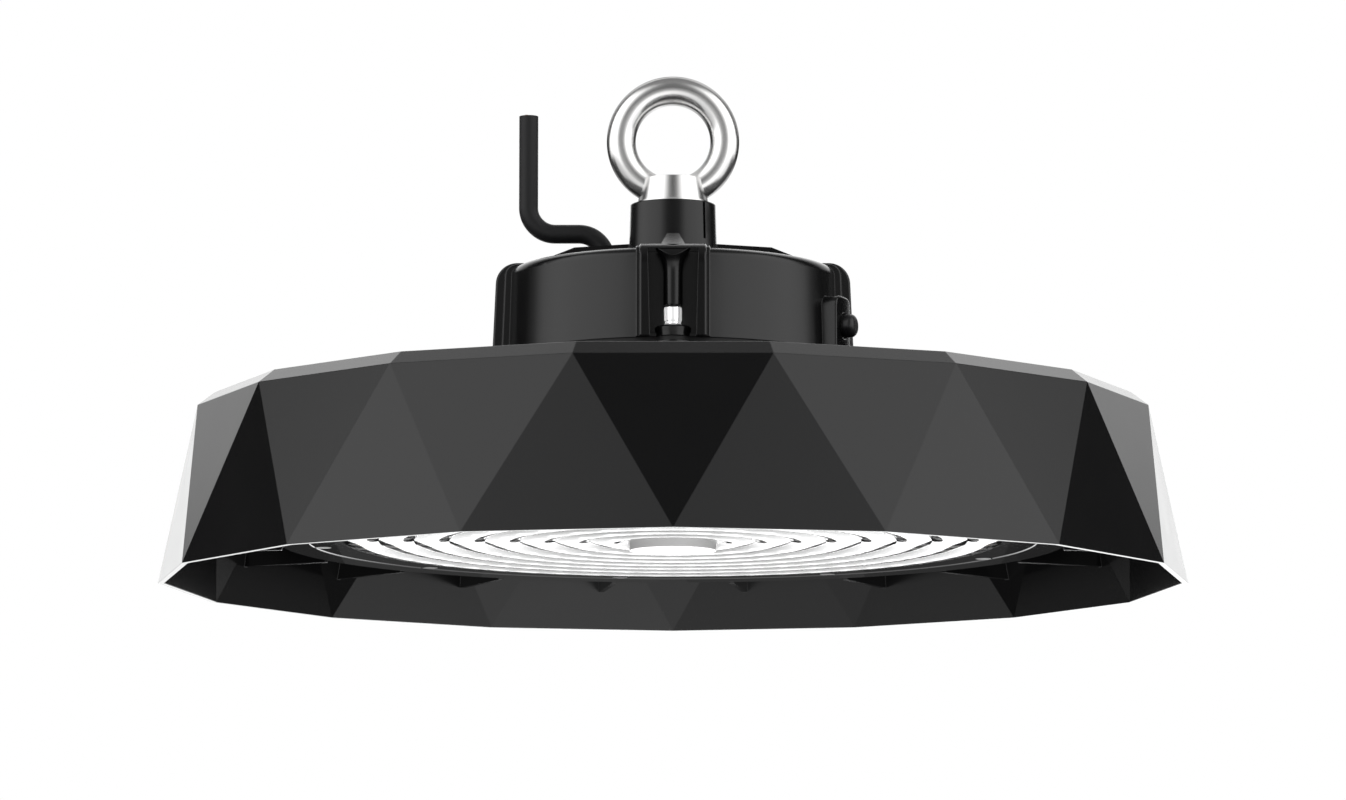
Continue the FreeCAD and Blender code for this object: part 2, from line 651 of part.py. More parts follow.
def led_connector():
    """Connector over the circuit board's central hole, where the two leads come down."""
    size = (CONNECTOR_WIDTH, CONNECTOR_DEPTH, CONNECTOR_HEIGHT)
    return block(size, (0.0, 0.0), LED_BOARD_BOTTOM - CONNECTOR_HEIGHT)


def lead_grommet():
    """Rubber bush in the plate's central hole, with a bore for each lead."""
    bush = cylinder(LEAD_HOLE_RADIUS - THREAD_CLEARANCE, PLATE_UNDERSIDE, PLATE_TOP)
    flange = cylinder(GROMMET_FLANGE_RADIUS, PLATE_TOP, PLATE_TOP + GROMMET_FLANGE_THICKNESS)
    bores = [
        cylinder(LEAD_RADIUS + THREAD_CLEARANCE, 0.0, BOARD_BOTTOM, 0.0, side * LEAD_HALF_SPACING)
        for side in (-1, 1)
    ]
    return fused([bush, flange]).cut(Part.makeCompound(bores))


def led_leads():
    """Two insulated leads from the output terminal, down through the plate, to the connector."""
    face_x = OUTPUT_TERMINAL_SIZE[0] / 2 - OUTPUT_TERMINAL_OFFSET
    height = BOARD_TOP + LEAD_HEIGHT_ABOVE_BOARD
    tubes = []
    for side in (-1, 1):
        y = side * LEAD_HALF_SPACING
        route = [(face_x, y, height), (0.0, y, height), (0.0, y, LED_BOARD_BOTTOM)]
        tubes.append(swept_tube(route, LEAD_RADIUS)[0])
    return Part.makeCompound(tubes)


def rounded_block(reach, top, corner, half_width, edge):
    """A block from inside the wall out to its reach, its front top corner and outer edges rounded."""
    reach_at_top = reach - HOOD_DRAFT
    outline = [(HOOD_INSIDE, HOUSING_BOTTOM), (reach, HOUSING_BOTTOM)]
    outline += corner_arc((reach_at_top - corner, top - corner), corner, 0.0, 90.0)
    outline.append((HOOD_INSIDE, top))
    body = side_prism(outline, half_width)
    outer_edges = [
        side
        for side in body.Edges
        if side.BoundBox.XLength < edge
        and side.BoundBox.ZMax > HOUSING_BOTTOM + edge
        and side.BoundBox.YMin < -HOOD_INSIDE - edge
    ]
    return body.makeFillet(edge, outer_edges)


def hood():
    """One screw pocket's hood before it is hollowed out."""
    return rounded_block(HOOD_REACH, HOOD_TOP, HOOD_CORNER, HOOD_HALF_WIDTH, HOOD_EDGE)


def hood_border():
    """The low border round a hood."""
    reach = HOUSING_RADIUS + BORDER_STAND_OUT
    top = HOUSING_TOP + BORDER_RISE
    corner = HOUSING_EDGE_FILLET + BORDER_RISE
    return rounded_block(reach, top, corner, HOOD_HALF_WIDTH + BORDER_WIDTH, BORDER_EDGE)


def pocket():
    """The space between a hood's ribs, from the pocket's floor to its roof."""
    outline = [
        (-POCKET_HALF_WIDTH, HOUSING_BOTTOM + POCKET_FLOOR_THICKNESS),
        (POCKET_HALF_WIDTH, HOUSING_BOTTOM + POCKET_FLOOR_THICKNESS),
        (POCKET_HALF_WIDTH_AT_TOP, POCKET_ROOF),
        (-POCKET_HALF_WIDTH_AT_TOP, POCKET_ROOF),
    ]
    opened = front_prism(outline, POCKET_BACK, HOOD_REACH + HOOD_CORNER)
    gap_low = side_prism(
        [
            (HOUSING_RADIUS, HOUSING_BOTTOM),
            (HOOD_REACH + HOOD_CORNER, HOUSING_BOTTOM),
            (HOOD_REACH + HOOD_CORNER, LUG_TOP),
            (HOUSING_RADIUS, LUG_TOP),
        ],
        POCKET_HALF_WIDTH,
    )
    return opened.fuse(gap_low)


def pocket_post():
    """The post that hangs from a pocket's roof, flared like a bell at its top and cut off inside the hood."""
    spread = POST_TOP_RADIUS - POST_RADIUS
    flare_radius = (spread ** 2 + POST_FLARE ** 2) / (2 * spread)
    flare_start = POCKET_ROOF - POST_FLARE
    flare_end = 180.0 - math.degrees(math.asin(POST_FLARE / flare_radius))
    outline = [(0.0, POST_BOTTOM), (POST_RADIUS, POST_BOTTOM)]
    outline += corner_arc((POST_RADIUS + flare_radius, flare_start), flare_radius, 180.0, flare_end)
    outline += [(POST_TOP_RADIUS, HOUSING_TOP), (0.0, HOUSING_TOP)]
    post = turned(outline)
    post.translate(FreeCAD.Vector(0, -SCREW_CIRCLE, 0))
    limit = rounded_block(
        HOOD_REACH - POST_INSET, HOOD_TOP - POST_INSET, HOOD_CORNER - POST_INSET, HOOD_HALF_WIDTH, HOOD_EDGE
    )
    return post.common(limit)


def lug():
    """The round boss in a pocket that the housing screw clamps."""
    shape = turned(
        [
            (0.0, HOUSING_BOTTOM),
            (LUG_FOOT_RADIUS, HOUSING_BOTTOM),
            (LUG_RADIUS, LUG_TOP - LUG_EDGE),
            (LUG_RADIUS - LUG_EDGE, LUG_TOP),
            (0.0, LUG_TOP),
        ]
    )
    shape.translate(FreeCAD.Vector(0, -SCREW_CIRCLE, 0))
    return shape


def web():
    """A rib on the roof, from the neck out to a pocket, with sloping sides and a sloping end."""
    base = HOUSING_TOP - STEP_HEIGHT
    tip = WEB_TOP_AT_NECK + STEP_HEIGHT
    half_base = WEB_HALF_WIDTH + WEB_SIDE_SLOPE * (WEB_KNEE_HEIGHT - base)
    half_tip = WEB_HALF_WIDTH - WEB_SIDE_SLOPE * (tip - WEB_KNEE_HEIGHT)
    section = [(-half_base, base), (half_base, base), (half_tip, tip), (-half_tip, tip)]
    outline = [
        (NECK_RADIUS / 2, base),
        (WEB_END_RADIUS, base),
        (WEB_END_RADIUS, HOUSING_TOP),
        (WEB_KNEE_RADIUS, WEB_KNEE_HEIGHT),
        (NECK_FOOT_RADIUS, WEB_TOP_AT_NECK),
        (NECK_RADIUS / 2, WEB_TOP_AT_NECK),
    ]
    prism = front_prism(section, NECK_RADIUS / 2, WEB_END_RADIUS)
    return prism.common(side_prism(outline, half_base))


def vent_pad():
    """Curved pad on the housing's side for the vent plug, built at the front."""
    half = VENT_PAD_WIDTH / 2
    top_left = (-half + VENT_PAD_CORNER, VENT_PAD_TOP - VENT_PAD_CORNER)
    top_right = (half - VENT_PAD_CORNER, VENT_PAD_TOP - VENT_PAD_CORNER)
    outline = [(-half, HOUSING_BOTTOM), (half, HOUSING_BOTTOM)]
    outline += corner_arc(top_right, VENT_PAD_CORNER, 0.0, 90.0)
    outline += corner_arc(top_left, VENT_PAD_CORNER, 90.0, 180.0)
    surface = VENT_PAD_REACH + SPOT_FACE_DEPTH
    prism = front_prism(outline, HOUSING_TOP_RADIUS - HOUSING_WALL - VENT_PAD_ROOT, surface)
    pad = prism.common(cylinder(surface, HOUSING_BOTTOM, VENT_PAD_TOP))
    rim = [
        side
        for side in pad.Edges
        if side.BoundBox.YMax < -HOUSING_RADIUS and side.BoundBox.ZMax > HOUSING_BOTTOM + VENT_PAD_EDGE
    ]
    pad = pad.makeFillet(VENT_PAD_EDGE, rim)
    spot_face = Part.makeCylinder(
        VENT_HEAD_RADIUS + SPOT_FACE_MARGIN,
        2 * SPOT_FACE_DEPTH,
        FreeCAD.Vector(0, -VENT_PAD_REACH, VENT_HEIGHT),
        FreeCAD.Vector(0, -1, 0),
    )
    return pad.cut(spot_face)


def housing_shell_outline():
    """Outer section of the housing: tapered wall, rounded edge, stepped roof and tapered neck."""
    edge_centre = (HOUSING_TOP_RADIUS - HOUSING_EDGE_FILLET, HOUSING_TOP - HOUSING_EDGE_FILLET)
    neck_edge = (NECK_RADIUS - NECK_EDGE, NECK_TOP - NECK_EDGE)
    outline = [(0.0, HOUSING_BOTTOM), (HOUSING_RADIUS, HOUSING_BOTTOM)]
    outline += corner_arc(edge_centre, HOUSING_EDGE_FILLET, 0.0, 90.0)
    outline += [(STEP_RADIUS, HOUSING_TOP), (STEP_RADIUS - STEP_DRAFT, STEP_TOP)]
    outline.append((NECK_FOOT_RADIUS, STEP_TOP))
    outline += corner_arc(neck_edge, NECK_EDGE, 0.0, 90.0)
    outline += [(0.0, NECK_TOP)]
    return outline


def housing_cavity():
    """The driver's space inside the housing, kept clear of the screw pockets and the vent's thread."""
    top_radius = HOUSING_TOP_RADIUS - HOUSING_WALL
    bevel = HOUSING_EDGE_FILLET / 2
    space = turned(
        [
            (0.0, HOUSING_BOTTOM),
            (HOUSING_RADIUS - HOUSING_WALL, HOUSING_BOTTOM),
            (top_radius, ROOF_UNDERSIDE - bevel),
            (top_radius - bevel, ROOF_UNDERSIDE),
            (0.0, ROOF_UNDERSIDE),
        ]
    )
    wall_size = (2 * HOOD_HALF_WIDTH, HOOD_REACH, HOUSING_TOP)
    pocket_walls = block(wall_size, (0.0, -POCKET_BACK + HOUSING_WALL - HOOD_REACH / 2), 0.0)
    return space.cut(Part.makeCompound(around(pocket_walls, POCKET_COUNT)))


def driver_housing():
    """One casting: round shell, four screw pockets, roof webs, neck and vent pad."""
    hoods = around(hood(), POCKET_COUNT) + around(hood_border(), POCKET_COUNT)
    webs = around(web(), POCKET_COUNT)
    shell = fused([turned(housing_shell_outline()), at_angle(vent_pad(), VENT_ANGLE)] + hoods + webs)
    shell = shell.cut(housing_cavity())
    shell = shell.cut(Part.makeCompound(around(pocket(), POCKET_COUNT)))
    casting = fused([shell] + around(lug(), POCKET_COUNT) + around(pocket_post(), POCKET_COUNT))

    screw_hole = cylinder(HOUSING_SCREW_RADIUS + HOLE_CLEARANCE, HOUSING_BOTTOM, LUG_TOP, 0.0, -SCREW_CIRCLE)
    key_hole = cylinder(POST_KEY_HOLE_RADIUS, POST_BOTTOM, HOOD_TOP, 0.0, -SCREW_CIRCLE)
    eye_hole = cylinder(SHANK_RADIUS + THREAD_CLEARANCE, ROOF_UNDERSIDE, NECK_TOP)
    gland_hole = cylinder(GLAND_STEM_RADIUS + THREAD_CLEARANCE, ROOF_UNDERSIDE, STEP_TOP, GLAND_X, GLAND_Y)
    vent_hole = Part.makeCylinder(
        VENT_STEM_RADIUS + THREAD_CLEARANCE,
        VENT_PAD_REACH,
        FreeCAD.Vector(0, -VENT_PAD_REACH, VENT_HEIGHT),
        FreeCAD.Vector(0, 1, 0),
    )
    vent_side = block((NECK_TOP, NECK_TOP, NECK_TOP), (0.0, -NECK_TOP / 2 - NECK_FOOT_RADIUS), 0.0)
    vent_hole = vent_hole.common(vent_side)
    slot_size = (NECK_SLOT_WIDTH, NECK_SLOT_DEPTH * 2, NECK_SLOT_LENGTH + NECK_EDGE)
    slot = block(slot_size, (0.0, -NECK_FOOT_RADIUS), NECK_TOP - NECK_SLOT_LENGTH)
    holes = around(screw_hole, POCKET_COUNT) + around(key_hole, POCKET_COUNT)
    holes += [eye_hole, gland_hole, at_angle(vent_hole, VENT_ANGLE), at_angle(slot, NECK_SLOT_ANGLE)]
    return casting.cut(Part.makeCompound(holes))


def housing_gasket():
    """Flat rubber gasket between the hub and the housing, with an eye round each screw."""
    ring = tube(
        HUB_RADIUS - HUB_WALL + GASKET_MARGIN, HUB_RADIUS - GASKET_MARGIN, HUB_HEIGHT, HOUSING_BOTTOM
    )
    eye = cylinder(LUG_FOOT_RADIUS - GASKET_MARGIN, HUB_HEIGHT, HOUSING_BOTTOM, 0.0, -SCREW_CIRCLE)
    hole = cylinder(HOUSING_SCREW_RADIUS + HOLE_CLEARANCE, HUB_HEIGHT, HOUSING_BOTTOM, 0.0, -SCREW_CIRCLE)
    gasket = fused([ring] + around(eye, POCKET_COUNT))
    return gasket.cut(Part.makeCompound(around(hole, POCKET_COUNT)))


def housing_screws():
    """Cap screws with a hexagon socket, one in each pocket."""
    edge = HOUSING_SCREW_HEAD_EDGE
    head = turned(
        [
            (0.0, SCREW_HEAD_SEAT),
            (HOUSING_SCREW_HEAD_RADIUS, SCREW_HEAD_SEAT),
            (HOUSING_SCREW_HEAD_RADIUS, SCREW_HEAD_TOP - edge),
            (HOUSING_SCREW_HEAD_RADIUS - edge, SCREW_HEAD_TOP),
            (0.0, SCREW_HEAD_TOP),
        ]
    )
    shank = cylinder(HOUSING_SCREW_RADIUS, HUB_HEIGHT - HOUSING_SCREW_ENGAGEMENT, SCREW_HEAD_SEAT + edge)
    socket = hexagon(HEX_SOCKET_ACROSS_FLATS, SCREW_HEAD_TOP - HEX_SOCKET_DEPTH, SCREW_HEAD_TOP)
    screw = fused([head, shank]).cut(socket)
    screw.translate(FreeCAD.Vector(0, -SCREW_CIRCLE, 0))
    return Part.makeCompound(around(screw, POCKET_COUNT))


def washer_set(outline):
    """The same turned washer under each housing screw."""
    washer = turned(outline)
    washer.translate(FreeCAD.Vector(0, -SCREW_CIRCLE, 0))
    return Part.makeCompound(around(washer, POCKET_COUNT))


def housing_flat_washers():
    """Washers with a sloping edge, seated on the lugs."""
    hole = HOUSING_SCREW_RADIUS + THREAD_CLEARANCE
    top = LUG_TOP + FLAT_WASHER_THICKNESS
    return washer_set(
        [(hole, LUG_TOP), (FLAT_WASHER_RADIUS, LUG_TOP), (FLAT_WASHER_TOP_RADIUS, top), (hole, top)]
    )


def housing_lock_washers():
    """Lock washers between the flat washers and the screw heads."""
    hole = HOUSING_SCREW_RADIUS + THREAD_CLEARANCE
    outer = LOCK_WASHER_RADIUS
    low = LUG_TOP + FLAT_WASHER_THICKNESS
    return washer_set([(hole, low), (outer, low), (outer, SCREW_HEAD_SEAT), (hole, SCREW_HEAD_SEAT)])


def eye_shank_end():
    """Height of the eye bolt's lower end, just past its nut."""
    return ROOF_UNDERSIDE - EYE_WASHER_THICKNESS - EYE_NUT_HEIGHT - SHANK_TIP


def eye_bolt():
    """Forged eye bolt: ring, tapered collar on the neck, and a shank through the roof."""
    section_radius = (RING_OUTER_RADIUS - RING_HOLE_RADIUS) / 2
    centre = FreeCAD.Vector(0, 0, RING_CENTRE)
    along_hole = FreeCAD.Vector(0, 1, 0)
    ring = Part.makeTorus(RING_OUTER_RADIUS - section_radius, section_radius, centre, along_hole)
    end = eye_shank_end()
    body = turned(
        [
            (0.0, end),
            (SHANK_RADIUS - SHANK_CHAMFER, end),
            (SHANK_RADIUS, end + SHANK_CHAMFER),
            (SHANK_RADIUS, NECK_TOP),
            (COLLAR_RADIUS, NECK_TOP),
            (COLLAR_RADIUS, NECK_TOP + COLLAR_EDGE),
            (COLLAR_TOP_RADIUS, NECK_TOP + COLLAR_HEIGHT),
            (0.0, NECK_TOP + COLLAR_HEIGHT),
        ]
    )
    ring_above = ring.cut(cylinder(RING_OUTER_RADIUS, 0.0, NECK_TOP + RING_SINK))
    return fused([body, ring_above])


def eye_bolt_washer():
    """Washer between the roof and the eye bolt's nut."""
    low = ROOF_UNDERSIDE - EYE_WASHER_THICKNESS
    return tube(SHANK_RADIUS + THREAD_CLEARANCE, EYE_WASHER_RADIUS, low, ROOF_UNDERSIDE)


def eye_bolt_nut():
    """Nut that clamps the eye bolt from inside the housing."""
    high = ROOF_UNDERSIDE - EYE_WASHER_THICKNESS
    nut = hexagon(EYE_NUT_ACROSS_FLATS, high - EYE_NUT_HEIGHT, high)
    return nut.cut(cylinder(SHANK_RADIUS + THREAD_CLEARANCE, high - EYE_NUT_HEIGHT, high))


def vent_piece(outline):
    """A piece turned about the vent's axis from (radius, distance out of the pad) points."""
    shape = turned(outline)
    shape.rotate(ORIGIN, FreeCAD.Vector(1, 0, 0), 90)
    shape.translate(FreeCAD.Vector(0, -VENT_PAD_REACH, VENT_HEIGHT))
    return at_angle(shape, VENT_ANGLE)


def vent_plug():
    """Domed pressure-balancing plug with its threaded stem."""
    seat = VENT_SEAL_THICKNESS
    crown = seat + VENT_HEAD_HEIGHT
    rounding = VENT_HEAD_ROUNDING
    dome = corner_arc((VENT_HEAD_RADIUS - rounding, crown - rounding), rounding, 0.0, 90.0)
    outline = [(0.0, -VENT_STEM_LENGTH), (VENT_STEM_RADIUS, -VENT_STEM_LENGTH), (VENT_STEM_RADIUS, seat)]
    outline += [(VENT_HEAD_RADIUS, seat)] + dome + [(0.0, crown)]
    return vent_piece(outline)


def vent_seal():
    """Rubber ring under the vent plug's head."""
    inner = VENT_STEM_RADIUS + THREAD_CLEARANCE
    outer = VENT_HEAD_RADIUS - GASKET_MARGIN
    thickness = VENT_SEAL_THICKNESS
    return vent_piece([(inner, 0.0), (outer, 0.0), (outer, thickness), (inner, thickness)])


def gland_body():
    """Cable gland body: hexagonal flange on the roof, threaded stem through it, spigot for the cap."""
    stem = cylinder(GLAND_STEM_RADIUS, STEP_TOP - GLAND_STEM_DEPTH, STEP_TOP, GLAND_X, GLAND_Y)
    flange = hexagon(GLAND_FLANGE_ACROSS_FLATS, STEP_TOP, GLAND_FLANGE_TOP, GLAND_X, GLAND_Y)
    spigot_top = GLAND_FLANGE_TOP + GLAND_SPIGOT_HEIGHT
    spigot = cylinder(GLAND_SPIGOT_RADIUS, GLAND_FLANGE_TOP, spigot_top, GLAND_X, GLAND_Y)
    bore = cylinder(CORD_RADIUS + HOLE_CLEARANCE, 0.0, spigot_top, GLAND_X, GLAND_Y)
    seal_seat = cylinder(GLAND_SEAL_RADIUS, STEP_TOP, spigot_top, GLAND_X, GLAND_Y)
    return fused([stem, flange, spigot]).cut(bore).cut(seal_seat)


def gland_seal():
    """Rubber sleeve squeezed round the cord inside the gland."""
    top = GLAND_FLANGE_TOP + GLAND_SPIGOT_HEIGHT
    return tube(CORD_RADIUS, GLAND_SEAL_RADIUS, STEP_TOP, top, GLAND_X, GLAND_Y)


def gland_cap():
    """Low domed cap screwed over the gland's spigot."""
    low = GLAND_FLANGE_TOP
    spigot_top = low + GLAND_SPIGOT_HEIGHT
    bore = GLAND_SPIGOT_RADIUS + THREAD_CLEARANCE
    mouth = CORD_RADIUS + THREAD_CLEARANCE
    outline = [(bore, low), (GLAND_CAP_RADIUS, low), (GLAND_CAP_RADIUS, low + GLAND_CAP_HEIGHT / 2)]
    outline += [(GLAND_CAP_TOP_RADIUS, GLAND_TOP), (mouth, GLAND_TOP)]
    outline += [(mouth, spigot_top), (bore, spigot_top)]
    cap = turned(outline)
    cap.translate(FreeCAD.Vector(GLAND_X, GLAND_Y, 0))
    return cap


def gland_lock_nut():
    """Nut on the gland's stem under the roof."""
    low = ROOF_UNDERSIDE - GLAND_NUT_HEIGHT
    nut = hexagon(GLAND_NUT_ACROSS_FLATS, low, ROOF_UNDERSIDE, GLAND_X, GLAND_Y)
    bore = cylinder(GLAND_STEM_RADIUS + THREAD_CLEARANCE, low, ROOF_UNDERSIDE, GLAND_X, GLAND_Y)
    return nut.cut(bore)


def supply_cord():
    """Round supply cord from inside the gland to its cut end. Prints its length and bend radii."""
    cord, length, radii = swept_tube(CORD_ROUTE, CORD_RADIUS)
    volume_ratio = cord.Volume / (math.pi * CORD_RADIUS ** 2 * length)
    print("cord length", round(length, 1), "bend radii", radii, "volume ratio", round(volume_ratio, 4))
    return cord


def supply_cores():
    """Three insulated cores from the cord's stripped end down to the supply terminal."""
    terminal_top = BOARD_TOP + SUPPLY_TERMINAL_SIZE[2]
    drop = CORD_START - terminal_top
    spacing = SUPPLY_TERMINAL_SIZE[0] / CORE_COUNT
    terminal_x, terminal_y = on_board(SUPPLY_TERMINAL_ANGLE, SUPPLY_TERMINAL_INSET)
    straight = drop * CORE_STRAIGHT_SHARE
    cores = []
    for k in range(CORE_COUNT):
        angle = math.radians(CORE_FIRST_ANGLE + 360.0 * k / CORE_COUNT)
        start_x = GLAND_X + CORE_SPREAD * math.cos(angle)
        start_y = GLAND_Y + CORE_SPREAD * math.sin(angle)
        order = (-1, 1, 0)[k]
        end_x = terminal_x + order * spacing
        route = [
            (start_x, start_y, CORD_START),
            (start_x, start_y, CORD_START - straight),
            (end_x, terminal_y, terminal_top + straight),
            (end_x, terminal_y, terminal_top),
        ]
        cores.append(swept_tube(route, CORE_RADIUS)[0])
    return Part.makeCompound(cores)


def standoff_centres():
    """Places of the four standoffs, between the screw pockets."""
    reach = STANDOFF_CIRCLE / math.sqrt(2)
    return [(reach, reach), (-reach, reach), (-reach, -reach), (reach, -reach)]


def driver_cup():
    """Insulating cup in the hub, with four standoffs for the driver board."""
    outer = cylinder(CUP_RADIUS, PLATE_TOP, CUP_TOP)
    inner = cylinder(CUP_RADIUS - CUP_WALL, CUP_FLOOR, CUP_TOP)
    cup = outer.cut(inner).cut(cylinder(CUP_HOLE_RADIUS, PLATE_TOP, CUP_FLOOR))
    posts = [cylinder(STANDOFF_RADIUS, PLATE_TOP, BOARD_BOTTOM, x, y) for x, y in standoff_centres()]
    depth = BOARD_SCREW_ENGAGEMENT + THREAD_CLEARANCE
    radius = SMALL_SCREW_RADIUS + THREAD_CLEARANCE
    holes = [cylinder(radius, BOARD_BOTTOM - depth, BOARD_BOTTOM, x, y) for x, y in standoff_centres()]
    return fused([cup] + posts).cut(Part.makeCompound(holes))


def driver_board():
    """Round circuit board of the driver."""
    board = tube(DRIVER_BOARD_HOLE_RADIUS, DRIVER_BOARD_RADIUS, BOARD_BOTTOM, BOARD_TOP)
    radius = SMALL_SCREW_RADIUS + HOLE_CLEARANCE
    holes = [cylinder(radius, BOARD_BOTTOM, BOARD_TOP, x, y) for x, y in standoff_centres()]
    return board.cut(Part.makeCompound(holes))


def driver_board_screws():
    """Screws that hold the driver board on its standoffs."""
    screws = []
    for x, y in standoff_centres():
        low = BOARD_BOTTOM - BOARD_SCREW_ENGAGEMENT
        shank = cylinder(SMALL_SCREW_RADIUS, low, BOARD_TOP + LOW_HEAD_HEIGHT / 2, x, y)
        head = cylinder(SMALL_SCREW_HEAD_RADIUS, BOARD_TOP, BOARD_TOP + LOW_HEAD_HEIGHT, x, y)
        screws.append(fused([head, shank]))
    return Part.makeCompound(screws)


def transformer_core():
    """Ferrite core: two yokes, two outer legs and the leg that the winding sits on."""
    width, depth, height = CORE_BLOCK
    window = (CORE_WINDOW, depth, height - 2 * CORE_YOKE)
    offset = width / 2 - CORE_YOKE - CORE_WINDOW / 2
    place = on_board(TRANSFORMER_ANGLE, TRANSFORMER_INSET)
    body = block(CORE_BLOCK, place, BOARD_TOP)
    for side in (-1, 1):
        opening = (place[0] + side * offset, place[1])
        body = body.cut(block(window, opening, BOARD_TOP + CORE_YOKE))
    return body


def transformer_winding():
    """Wound bobbin round the core's middle leg."""
    width, depth, height = CORE_BLOCK
    leg = width - 2 * CORE_YOKE - 2 * CORE_WINDOW
    gap = WINDING_GAP
    winding_height = height - 2 * CORE_YOKE - 2 * gap
    outer = (leg + 2 * CORE_WINDOW - 2 * gap, depth + 2 * WINDING_WALL, winding_height)
    low = BOARD_TOP + CORE_YOKE + gap
    place = on_board(TRANSFORMER_ANGLE, TRANSFORMER_INSET)
    body = block(outer, place, low)
    upright = [edge for edge in body.Edges if edge.BoundBox.ZLength > winding_height / 2]
    body = body.makeFillet(WINDING_CORNER, upright)
    hole = (leg + 2 * gap, depth + 2 * gap, winding_height)
    return body.cut(block(hole, place, low))


def bulk_capacitors():
    """Two upright electrolytic capacitors."""
    top = BOARD_TOP + CAPACITOR_HEIGHT
    places = [on_board(*spot) for spot in zip(CAPACITOR_ANGLES, CAPACITOR_INSETS)]
    cans = [cylinder(CAPACITOR_RADIUS, BOARD_TOP, top, x, y) for x, y in places]
    return Part.makeCompound(cans)


def filter_choke():
    """Wound ring choke lying on the board."""
    low = BOARD_TOP
    high = BOARD_TOP + CHOKE_HEIGHT
    corner = CHOKE_CORNER
    outline = [(CHOKE_HOLE_RADIUS, low + corner), (CHOKE_HOLE_RADIUS + corner, low)]
    outline += [(CHOKE_RADIUS - corner, low), (CHOKE_RADIUS, low + corner)]
    outline += [(CHOKE_RADIUS, high - corner), (CHOKE_RADIUS - corner, high)]
    outline += [(CHOKE_HOLE_RADIUS + corner, high), (CHOKE_HOLE_RADIUS, high - corner)]
    choke = turned(outline)
    x, y = on_board(CHOKE_ANGLE, CHOKE_INSET)
    choke.translate(FreeCAD.Vector(x, y, 0))
    return choke


def film_capacitors():
    """Two box capacitors."""
    places = [on_board(*spot) for spot in zip(FILM_CAPACITOR_ANGLES, FILM_CAPACITOR_INSETS)]
    boxes = [block(FILM_CAPACITOR_SIZE, place, BOARD_TOP) for place in places]
    return Part.makeCompound(boxes)


def transistor_heat_plate():
    """Upright aluminium plate that cools the transistors."""
    return block(HEAT_PLATE_SIZE, on_board(HEAT_PLATE_ANGLE, HEAT_PLATE_INSET), BOARD_TOP)


def power_transistors():
    """Two transistors flat against their cooling plate."""
    x, y = on_board(HEAT_PLATE_ANGLE, HEAT_PLATE_INSET)
    front = y - HEAT_PLATE_SIZE[1] / 2 - TRANSISTOR_SIZE[1] / 2
    places = [(x + side * TRANSISTOR_SPACING / 2, front) for side in (-1, 1)]
    return Part.makeCompound([block(TRANSISTOR_SIZE, place, BOARD_TOP) for place in places])


def bridge_rectifier():
    """Flat rectifier standing on the board."""
    return block(RECTIFIER_SIZE, on_board(RECTIFIER_ANGLE, RECTIFIER_INSET), BOARD_TOP)


def supply_terminal():
    """Three-way terminal block for the supply cores."""
    place = on_board(SUPPLY_TERMINAL_ANGLE, SUPPLY_TERMINAL_INSET)
    return block(SUPPLY_TERMINAL_SIZE, place, BOARD_TOP)


def output_terminal():
    """Two-way terminal block for the leads to the light board."""
    return block(OUTPUT_TERMINAL_SIZE, (-OUTPUT_TERMINAL_OFFSET, 0.0), BOARD_TOP)


PIECES = (
    heat_sink,
    lens,
    lens_gasket,
    lens_screws,
    led_board,
    led_board_screws,
    leds,
    led_connector,
    lead_grommet,
    led_leads,
    driver_housing,
    housing_gasket,
    housing_screws,
    housing_flat_washers,
    housing_lock_washers,
    eye_bolt,
    eye_bolt_washer,
    eye_bolt_nut,
    vent_plug,
    vent_seal,
    gland_body,
    gland_seal,
    gland_cap,
    gland_lock_nut,
    supply_cord,
    supply_cores,
    driver_cup,
    driver_board,
    driver_board_screws,
    transformer_core,
    transformer_winding,
    bulk_capacitors,
    filter_choke,
    film_capacitors,
    transistor_heat_plate,
    power_transistors,
    bridge_rectifier,
    supply_terminal,
    output_terminal,
)


def main():
    """Builds every piece and writes it to the parts folder under its own name."""
    os.makedirs("parts", exist_ok=True)
    for piece in PIECES:
        shape = piece()
        if not shape.isValid():
            print(piece.__name__, "isn't valid")
        print(piece.__name__, len(shape.Solids), "solids", round(shape.Volume / 1000, 2), "cm3")
        shape.exportStep(os.path.join("parts", piece.__name__ + ".step"))


main()
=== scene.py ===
from collections import namedtuple
import json
import math

import bmesh
import bpy
from mathutils import Matrix, Vector


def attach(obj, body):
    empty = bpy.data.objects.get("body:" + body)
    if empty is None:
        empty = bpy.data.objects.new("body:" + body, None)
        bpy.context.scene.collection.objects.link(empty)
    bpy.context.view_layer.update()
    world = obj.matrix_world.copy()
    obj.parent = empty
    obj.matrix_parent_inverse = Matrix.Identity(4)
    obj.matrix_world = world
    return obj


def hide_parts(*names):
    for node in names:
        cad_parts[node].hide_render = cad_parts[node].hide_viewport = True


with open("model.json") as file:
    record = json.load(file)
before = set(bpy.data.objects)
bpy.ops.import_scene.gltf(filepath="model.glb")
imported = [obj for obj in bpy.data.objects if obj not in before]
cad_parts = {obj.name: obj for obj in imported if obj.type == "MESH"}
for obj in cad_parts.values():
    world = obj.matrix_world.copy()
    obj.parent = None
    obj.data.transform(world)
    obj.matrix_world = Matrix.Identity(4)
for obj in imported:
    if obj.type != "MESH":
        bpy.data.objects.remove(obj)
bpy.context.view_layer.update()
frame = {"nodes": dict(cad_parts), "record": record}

MM = 0.001
WHITE = (1.0, 1.0, 1.0, 1.0)

# Camera, in metres and degrees, with its lens in millimetres. It stands under the rim's level and looks up.
CAMERA_DISTANCE = 2.1604
CAMERA_BELOW = 5.778
CAMERA_PITCH = 7.429
CAMERA_REACH = 100.0
CAMERA_LENS = 170.05
SENSOR_WIDTH = 36.0

